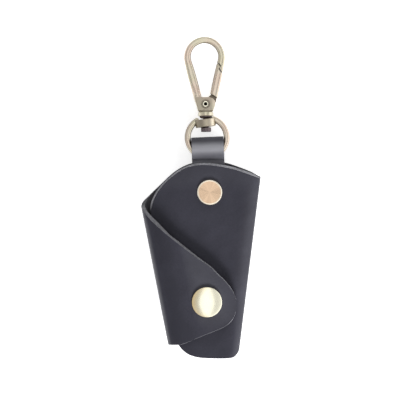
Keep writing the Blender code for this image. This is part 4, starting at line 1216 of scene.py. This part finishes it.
def strap_line():
    """The strap's middle line as runs up from the rivet and levels from its middle."""
    lower = -STRAP_END - 2 * LAYER - STRAP_LEATHER
    upper = -STRAP_END - STRAP_LEATHER
    bend = LAYER - KEY_LOOP_RUN
    line = [Vector((STRAP_END, 0)), Vector((0, 0))]
    for k in range(13):
        t = 1 - k / 12
        line.append(Vector((lower + (upper - lower) * t, LAYER * (1 - ease(t)))))
    line += arc((bend, 0), LAYER, 90, 270, 16)
    line += [Vector((bend + (MOUTH_RUN - bend) * k / 16, -LAYER)) for k in range(1, 16)]
    apex = EYE_RUN - STRAP_LEATHER / 2 + STRAP_SLACK
    shoulder = apex - 2 * LOOP_HEIGHT
    knots = [(MOUTH_RUN, LAYER), (MOUTH_RUN + 1.5, LAYER + 0.02), (EYE_RUN - EYE_RADIUS, 2.3)]
    rise = smooth_line([*knots, (shoulder, LOOP_HEIGHT)], 6)
    for k in range(1, 17):
        angle = math.pi / 2 * k / 16
        rise.append(Vector((shoulder + (apex - shoulder) * math.sin(angle), LOOP_HEIGHT * math.cos(angle))))
    line += [Vector((p.x, -p.y)) for p in rise]
    line += list(reversed(rise[:-1]))
    return line + [Vector((MOUTH_RUN - (MOUTH_RUN + STRAP_END) * k / 12, LAYER)) for k in range(1, 13)]


class KeySleeveOperator:
    """What the build operators share."""

    bl_options = {"REGISTER", "UNDO"}


class KEYSLEEVE_OT_sleeve(KeySleeveOperator, bpy.types.Operator):
    """Fold the sleeve's leather round the pocket"""

    bl_idname = "key_sleeve.sleeve"
    bl_label = "Sleeve leather"

    def execute(self, context):
        look = context.scene.key_sleeve_leather
        materials = leather_materials("sleeve", look, 1.0, 1.0)
        thickness = look.thickness / MM
        body = leather_piece("sleeve_leather", body_skin(thickness).build(), look.edge_softness, materials)
        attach(body, "sleeve")
        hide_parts("sleeve_body")
        flap = leather_piece("flap_leather", flap_skin(thickness).build(), look.edge_softness, materials)
        hinge = Vector(JOINTS["flap_fold"]["pos_m"])
        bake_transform(flap)
        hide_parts("closing_flap")
        return {"FINISHED"}


class KEYSLEEVE_OT_strap(KeySleeveOperator, bpy.types.Operator):
    """Lay the riveted strap with its two loops"""

    bl_idname = "key_sleeve.strap"
    bl_label = "Strap"

    def execute(self, context):
        look = context.scene.key_sleeve_leather

        def pulled_and_lit(run, level):
            """Paler over the loop's top, partly oil drawn from the bend and partly a painted highlight; over
            the whole upper layer, painted light, strongest at the mouth, which lies in the panel's shadow,
            and at the top edge, which faces away from the key lamp.
            """
            bow = ease((run - MOUTH_RUN + 2) / 2) if level > 0 else 0.0
            mouth = 0.22 * (1 - ease((run - MOUTH_RUN) / 4))
            loop = bell(run, 22.2, 2.6) * ease(level - LAYER)
            return loop + bow * (0.17 + mouth + 0.2 * ease((run - 25) / 2))

        bm = ribbon(strap_line(), STRAP_WIDTH + STRAP_SLACK, STRAP_AXES, pulled_and_lit)
        weight = bm.edges.layers.float.new("bevel_weight_edge")
        for edge in bm.edges:
            edge[weight] = 1.0 if edge.is_boundary else 0.0
        materials = leather_materials("strap", look, 0.95, 0.8)
        strap = leather_piece("strap_leather", bm, look.edge_softness, materials)
        modify(
            strap, "thickness", "SOLIDIFY", thickness=look.strap_thickness, offset=0.0, use_even_offset=True,
            material_offset=2, material_offset_rim=1,
        )
        strap.modifiers.move(2, 0)
        strap.modifiers["edges"].limit_method = "ANGLE"
        strap.modifiers["edges"].angle_limit = math.radians(50)
        swing = Vector(JOINTS["eye_swing"]["pos_m"])
        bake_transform(strap)
        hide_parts("strap_tail", "strap_front", "strap_loop")
        return {"FINISHED"}


class KEYSLEEVE_OT_rivet(KeySleeveOperator, bpy.types.Operator):
    """Turn the rivet's head and its rear cap"""

    bl_idname = "key_sleeve.rivet"
    bl_label = "Rivet"

    def execute(self, context):
        look = context.scene.key_sleeve_metal
        centre, radius, low, high = turned_place("rivet_head")
        spot = Matrix.Translation((centre.x, centre.y, 0))
        seat = PANEL_TOP + SEAT_GAP
        high -= RIVET_SINK
        flat = radius - RIVET_LIP
        steps = round(flat / GROOVE_PITCH) * 6
        waves = [GROOVE_DEPTH * math.sin(math.pi * k / 3) for k in range(steps + 1)]
        face = [(flat * k / steps, high - 0.015 + wave) for k, wave in enumerate(waves)]
        lip = soften([(flat, high), (radius - 0.3, high - 0.14), (radius, high - 0.45), (radius, seat)], 0.2)
        profile = [*face, *lip[1:], (radius - 0.2, seat - 0.02), (1.1, seat), (1.1, low), (0, low)]
        head = new_piece("rivet_head_turned", lathe(profile, look.round_steps), spot)
        copper = turned_finish("rivet_copper", look.copper, look.rivet_rim_highlight, 0.22, centre, radius)
        set_down(head, "sleeve", "rivet_head", "copper", copper)
        high = turned_place("rivet_back")[3]
        cap = soften([(1.65, high), (1.65, 0.65), (4.75, 0.65), (4.75, 0.25), (4.3, 0.05), (0, 0.05)], 0.12)
        profile = [(0, 0.65), (1.15, 0.7), (1.15, high), *cap]
        back = new_piece("rivet_back_turned", lathe(profile, look.round_steps), spot)
        set_down(back, "sleeve", "rivet_back", "steel", plate_finish("rivet_back_nickel", look.steel, 0.3))
        return {"FINISHED"}


class KEYSLEEVE_OT_snap(KeySleeveOperator, bpy.types.Operator):
    """Press the snap's cap, and plate its socket, spring, stud and post"""

    bl_idname = "key_sleeve.snap"
    bl_label = "Snap fastener"

    def execute(self, context):
        look = context.scene.key_sleeve_metal
        centre, radius, low, high = turned_place("snap_cap")
        seat = FLAP_TOP + SEAT_GAP
        fall = high - seat - CAP_LIP
        dome = [(radius * 0.93 * k / 14, high - fall * (k / 14) ** 2.7) for k in range(15)]
        lip = [(radius * 0.975, seat + 0.58), (radius, seat + 0.3), (radius * 0.985, seat)]
        profile = [*soften(dome + lip, 0.25, 3), (1.3, seat), (1.3, low), (0, low)]
        spot = Matrix.Translation((centre.x, centre.y, 0))
        cap = new_piece("snap_cap_pressed", lathe(profile, look.round_steps), spot)
        brass = capped_finish("snap_pale_brass", look.pale_brass, look.cap_rim_shade_colour, 0.27, centre, radius)
        set_down(cap, "flap", "snap_cap", "pale_brass", brass)
        nickel = plate_finish("snap_nickel", look.steel, 0.26)
        for node in ("snap_socket", "snap_spring", "snap_stud", "snap_post"):
            dress(frame["nodes"][node], nickel)
        return {"FINISHED"}


class KEYSLEEVE_OT_key_ring(KeySleeveOperator, bpy.types.Operator):
    """Wind the split key ring"""

    bl_idname = "key_sleeve.key_ring"
    bl_label = "Key ring"

    def execute(self, context):
        look = context.scene.key_sleeve_metal
        radius = KEY_RING_RADIUS - KEY_WIRE[0]
        points = []
        for degree in range(0, KEY_RING_WINDING, 4):
            lift = ease((degree - 300) / 52) - 0.5
            angle = math.radians(degree - 60)
            points.append((radius * math.cos(angle), radius * math.sin(angle), KEY_RING_LIFT * lift))
        bm = swept(round_section(*KEY_WIRE, 0.55, 16), stations_along(points))
        ring = new_piece("key_ring_wound", bm, axes_of("key_ring_turn", STRAP_LEAN))
        set_down(ring, "keys", "key_ring", "steel", plate_finish("key_ring_nickel", look.steel, 0.22))
        return {"FINISHED"}


class KEYSLEEVE_OT_swivel_eye(KeySleeveOperator, bpy.types.Operator):
    """Cast the swivel eye and turn its post"""

    bl_idname = "key_sleeve.swivel_eye"
    bl_label = "Swivel eye"

    def execute(self, context):
        look = context.scene.key_sleeve_metal
        reach = math.degrees(math.asin(0.3 * BOSS[0] / EYE_RADIUS))
        bow = stations_along(arc((0, 0), EYE_RADIUS, 90 + reach, 450 - reach, 96))
        ring = swept(round_section(EYE_WIRE, EYE_WIRE), bow)
        on_boss = Matrix.Translation((0, BOSS_RISE, 0)) @ UPRIGHT
        outline = round_section(BOSS[0] / 2, BOSS[1] / 2, 0.94, 64)
        boss = moved(rounded(extruded(outline, -BOSS[2] / 2, BOSS[2] / 2), 0.3, 2), on_boss)
        top = BOSS_RISE + BOSS[2] / 2 + 0.2
        slope = [(3.0, top), (3.9, top + 0.65), (4.6, top + 1.3), (4.6, top + 4), (-3.9, top + 4)]
        slope += [(-3.9, top + 0.95), (-3.2, top + 0.72), (-2.9, top + 0.3), (-2.6, top)]
        steps = [
            ("UNION", boss), ("DIFFERENCE", extruded(slope, -BOSS[1], BOSS[1])),
            ("DIFFERENCE", moved(drill(BOSS_BORE), on_boss)),
        ]
        cast("swivel_eye_cast", "eye", "swivel_ring", look, ring, steps, EYE_AXES, eye_patina_and_shade)
        profile = soften(POST_PROFILE, 0.15)
        post = new_piece("swivel_post_turned", lathe(profile, look.round_steps), HOOK_AXES @ UPRIGHT)
        gunmetal = plate_finish("post_gunmetal", look.gunmetal, 0.35, 0.0003)
        set_down(post, "hook", "swivel_post", "gunmetal", gunmetal)
        return {"FINISHED"}


def seam_point(out, down):
    """A point beside the gate's middle line, down from the crown's right end."""
    return (GATE_START + GATE_ACROSS * out + GATE_DOWN * down).xy


def swell(p):
    """The wire's shares of its width and height: wide at the foot of both legs, deep at the arm's foot."""
    wide = 1 + LEG_SWELL * ease((CROWN_RISE + 3.5 - p.y) / 14)
    if p.x >= 0:
        return Matrix.Diagonal((wide, 1, 1, 1))
    taper = 1 - FOOT_TAPER * ease((CHEEK_TOP - p.y) / ARM_RAMP)
    return Matrix.Diagonal((wide * taper, 1 + ARM_SWELL * (1 - ease((p.y - CHEEK_TOP) / ARM_RAMP)), 1, 1))


def bent_wire(line):
    """The hook's wire, drawn along a line."""
    stations = [station @ swell(p) for station, p in zip(stations_along(line), line)]
    return swept(round_section(HOOK_WIRE, HOOK_WIRE, WIRE_POWER, BOW_STEPS), stations)


def seam_block(out, down, far):
    """What lies beyond the seam between nose and gate."""
    line = [seam_point(a * HOOK_WIRE + out, b * HOOK_WIRE + down) for a, b in SEAM_SHARES]
    wide = 2 * HOOK_WIRE
    near_left, near_right = (SEAM_SHARES[k][1] * HOOK_WIRE + down for k in (0, -1))
    line.insert(0, seam_point(-wide, near_left))
    line += [seam_point(wide, near_right), seam_point(wide, far), seam_point(-wide, far)]
    block = extruded(line, -wide, wide)
    for vert in block.verts:
        vert.co += (GATE_DOWN * SEAM_SLOPE - GATE_ACROSS * SEAM_LEAN) * (vert.co.z - HOOK_WIRE)
    return block


class KEYSLEEVE_OT_hook(KeySleeveOperator, bpy.types.Operator):
    """Cast the hook with its collar, cheeks, arm, crown and nose"""

    bl_idname = "key_sleeve.hook"
    bl_label = "Hook"

    def execute(self, context):
        look = context.scene.key_sleeve_metal
        left = crown_end(-1, ARM_ANGLE)
        slope = math.radians(ARM_ANGLE)
        leg = (left.y - GROOVE_TOP - CLEARANCE) / math.cos(slope)
        foot = left + Vector((math.sin(slope), -math.cos(slope))) * leg
        line = [foot + (left - foot) * k / 12 for k in range(12)]
        line += arc((0, CROWN_RISE), CROWN_RADIUS, 180 + ARM_ANGLE, -GATE_ANGLE, 72)
        line += [seam_point(0, NOSE_LENGTH * k / 4) for k in range(1, 5)]
        arm_level = CHEEK_TOP + 0.5
        arm_x = left.x + (left.y - arm_level) * math.tan(slope)
        outline = [
            (-COLLAR_RADIUS - 0.1, GROOVE_TOP), (COLLAR_RADIUS, GROOVE_TOP), *smooth_line(CHEEK_SIDE, 5),
            (-CHEEK_RADIUS / 3, CHEEK_TOP), (arm_x + HOOK_WIRE, arm_level),
            (arm_x - 1.1 * HOOK_WIRE, arm_level),
        ]
        cheeks = rounded(extruded(outline, -CHEEK_DEPTH / 2, CHEEK_DEPTH / 2), CHEEK_EDGE, 3)
        collar = moved(lathe(soften(COLLAR_PROFILE, 0.08, 2), DRILL_STEPS), UPRIGHT)
        slot_line = arc((0, PIN_RISE), SLOT_RADIUS, 135, 290, 20)
        far = 2 * CHEEK_RADIUS
        slot_line += [(far, slot_line[-1].y), (far, CHEEK_TOP + far), (slot_line[0].x, CHEEK_TOP + far)]
        slot = extruded(slot_line, -SLOT_DEPTH / 2, SLOT_DEPTH / 2)
        hole = moved(lathe(CHEEK_BORE_PROFILE, DRILL_STEPS), ON_PIN)
        steps = [
            ("DIFFERENCE", seam_block(0, 0, 2 * NOSE_LENGTH)), ("UNION", cheeks), ("UNION", collar),
            ("DIFFERENCE", slot), ("DIFFERENCE", hole),
        ]
        cast("hook_cast", "hook", "hook_frame", look, bent_wire(line), steps, HOOK_AXES, hook_patina_and_shade)
        return {"FINISHED"}


class KEYSLEEVE_OT_gate(KeySleeveOperator, bpy.types.Operator):
    """Cast the gate, and turn its hollow pin"""

    bl_idname = "key_sleeve.gate"
    bl_label = "Gate and pin"

    def execute(self, context):
        look = context.scene.key_sleeve_metal
        reach = GATE_LENGTH + HOOK_WIRE / 2
        line = [seam_point(0, HOOK_WIRE / 2 + reach * k / 10) for k in range(11)]
        low = -SLOT_DEPTH / 2 + 0.15
        side = 0.8 * HOOK_WIRE
        outline = [*arc((0, PIN_RISE), 2.2, 110, 310, 28), *TANG_CORNERS]
        outline += [seam_point(side, GATE_LENGTH - HOOK_WIRE), seam_point(-side, GATE_LENGTH - HOOK_WIRE)]
        tang = extruded([*outline, seam_point(-side, GATE_LENGTH)], low, low + 1.5)
        start, end = Vector(GATE_END[0]), Vector(GATE_END[1])
        slant = end - start
        below = 2 * Vector((slant.y, -slant.x))
        corners = [start - slant, end + slant, end + slant + below, start - slant + below]
        foot = extruded(corners, -2 * HOOK_WIRE, 2 * HOOK_WIRE)
        steps = [
            ("DIFFERENCE", seam_block(-1.2 * CLEARANCE, 1.25 * CLEARANCE, -GATE_LENGTH)),
            ("DIFFERENCE", foot), ("UNION", tang), ("DIFFERENCE", moved(drill(PIN_BORE), ON_PIN)),
        ]
        cast("gate_cast", "gate", "hook_gate", look, bent_wire(line), steps, HOOK_AXES, gate_patina_and_shade)
        turned_pin = lathe(soften(PIN_PROFILE, 0.06, 3), DRILL_STEPS)
        pin = new_piece("gate_pin_rolled", turned_pin, HOOK_AXES @ ON_PIN)
        middle = HOOK_AXES @ Vector((0, PIN_RISE, 0)) * MM
        # The bore and the pin's outer rim take the dark matt colour: painted shade.
        for polygon in pin.data.polygons:
            out = math.hypot(polygon.center.x - middle.x, polygon.center.y - middle.y) / MM
            in_bore = out < 0.9 and 0.5 < (polygon.center.z - middle.z) / MM < 3.1
            polygon.material_index = int(out > 1.33 or in_bore)
        plating = plate_finish("pin_pale_brass", look.pale_brass, 0.22)
        set_down(pin, "hook", "gate_pin", "pale_brass", plating, painted_shade_finish("pin_painted_shade", look.patina_and_shade_colour))
        dress(frame["nodes"]["gate_spring"], plate_finish("spring_steel", look.gunmetal, 0.35))
        return {"FINISHED"}


# Each lamp's name, place and size in metres, watts, and whether the metal mirrors it
LAMPS = (
    ("strip_lamp", (0.0, 0.0, 0.45), (0.26, 1.4), 0.74, True),
    ("key_lamp", (0.12, -0.62, 0.255), (0.18, 0.18), 7.4, False),
    ("fill_lamp", (0.4, 0.58, 0.36), (0.4, 0.4), 1.9, False),
)
VIEW_MIDDLE = (-0.0004967, -0.001341)
VIEW_WIDTH = 0.19868
VIEW_LEVEL = 0.006
LENS = 120.0
SENSOR = 36.0
TABLE_SIZE = 1500
TABLE_GAP = 0.12


class KEYSLEEVE_OT_stage(KeySleeveOperator, bpy.types.Operator):
    """Set the pale table, the soft lamps and the camera"""

    bl_idname = "key_sleeve.stage"
    bl_label = "Photo table"

    def execute(self, context):
        scene = context.scene
        scene.view_settings.view_transform = "Standard"
        self.table()
        self.world(scene)
        for name, place, (width, length), power, mirrored in LAMPS:
            light = bpy.data.lights.new(name, "AREA")
            light.shape = "RECTANGLE"
            light.size = width
            light.size_y = length
            light.energy = power
            lamp = bpy.data.objects.new(name, light)
            scene.collection.objects.link(lamp)
            lamp.location = place
            lamp.visible_glossy = mirrored
            lamp.rotation_euler = (-Vector(place)).to_track_quat("-Z", "Y").to_euler()
        self.camera(scene)
        return {"FINISHED"}

    def table(self):
        """A pale table that looks the same where the camera or a reflection meets it."""
        bm = bmesh.new()
        bmesh.ops.create_grid(bm, x_segments=1, y_segments=1, size=TABLE_SIZE)
        table = new_piece("photo_table", bm, Matrix.Translation((0, 0, -TABLE_GAP)))
        finish = Finish("table_white", 0.0, 0.9)
        finish.feed("Base Color", (0.86, 0.86, 0.87, 1.0))
        finish.feed("Specular IOR Level", 0.0)
        finish.feed("Emission Color", (1, 1, 1, 1))
        path = finish.node("ShaderNodeLightPath").outputs
        seen = Value(finish.tree, path["Is Camera Ray"])
        for ray in ("Is Glossy Ray", "Is Transmission Ray"):
            seen = seen.math("MAXIMUM", Value(finish.tree, path[ray]))
        finish.feed("Emission Strength", seen * 0.7)
        dress(table, finish.material)

    def world(self, scene):
        """Pale air, and in the metal's reflections a bright card on the right and a dim one on the left."""
        scene.world = bpy.data.worlds.new("studio_air")
        scene.world.use_nodes = True
        air = Nodes(scene.world.node_tree)
        path = air.node("ShaderNodeLightPath").outputs
        seen, glossy = Value(air.tree, path["Is Camera Ray"]), Value(air.tree, path["Is Glossy Ray"])
        source = air.node("ShaderNodeTexCoord").outputs["Generated"]
        parts = air.node("ShaderNodeSeparateXYZ", Vector=source).outputs
        east, north, up = (Value(air.tree, part) for part in parts)
        card = (east * 0.9 - north * 0.4).between(0.2, 0.8) * (1 - up.between(0.42, 0.66))
        west = (0 - east).between(0.15, 0.6) * (1 - up.between(0.55, 0.85))
        strength = seen * 0.84 + glossy * (card * 1.1 + west * 0.3 + east * 0.12 + 0.52) + 0.16
        background = air.tree.nodes["Background"].inputs
        air.hold(background["Color"], (1, 1, 1, 1))
        air.hold(background["Strength"], strength)

    def camera(self, scene):
        """Straight above the frame's middle, as far off as the photograph's width asks for."""
        data = bpy.data.cameras.new("overhead")
        data.lens = LENS
        data.sensor_width = SENSOR
        camera = bpy.data.objects.new("overhead", data)
        scene.collection.objects.link(camera)
        camera.location = (*VIEW_MIDDLE, VIEW_LEVEL + VIEW_WIDTH * LENS / SENSOR)
        scene.camera = camera


PIECES = (
    KEYSLEEVE_OT_sleeve,
    KEYSLEEVE_OT_strap,
    KEYSLEEVE_OT_rivet,
    KEYSLEEVE_OT_snap,
    KEYSLEEVE_OT_key_ring,
    KEYSLEEVE_OT_swivel_eye,
    KEYSLEEVE_OT_hook,
    KEYSLEEVE_OT_gate,
    KEYSLEEVE_OT_stage,
)


class KEYSLEEVE_PT_panel(bpy.types.Panel):
    """Lists the pieces and what can be changed on them"""

    bl_label = "Key sleeve"
    bl_idname = "KEYSLEEVE_PT_panel"
    bl_space_type = "VIEW_3D"
    bl_region_type = "UI"
    bl_category = "Key sleeve"

    def draw(self, context):
        layout = self.layout
        for settings in (context.scene.key_sleeve_leather, context.scene.key_sleeve_metal):
            for name in settings.bl_rna.properties.keys():
                if name not in ("rna_type", "name"):
                    layout.prop(settings, name)
        for operator in PIECES:
            layout.operator(operator.bl_idname)


CLASSES = (LeatherSettings, MetalSettings, *PIECES, KEYSLEEVE_PT_panel)


def register():
    for cls in CLASSES:
        bpy.utils.register_class(cls)
    bpy.types.Scene.key_sleeve_leather = PointerProperty(type=LeatherSettings)
    bpy.types.Scene.key_sleeve_metal = PointerProperty(type=MetalSettings)


def unregister():
    del bpy.types.Scene.key_sleeve_metal
    del bpy.types.Scene.key_sleeve_leather
    for cls in reversed(CLASSES):
        bpy.utils.unregister_class(cls)


def main():
    for thing in list(bpy.data.objects):
        if thing.name in ("Cube", "Light", "Camera"):
            bpy.data.objects.remove(thing, do_unlink=True)
    register()
    for operator in PIECES:
        group, name = operator.bl_idname.split(".")
        getattr(getattr(bpy.ops, group), name)()


if __name__ == "__main__":
    main()
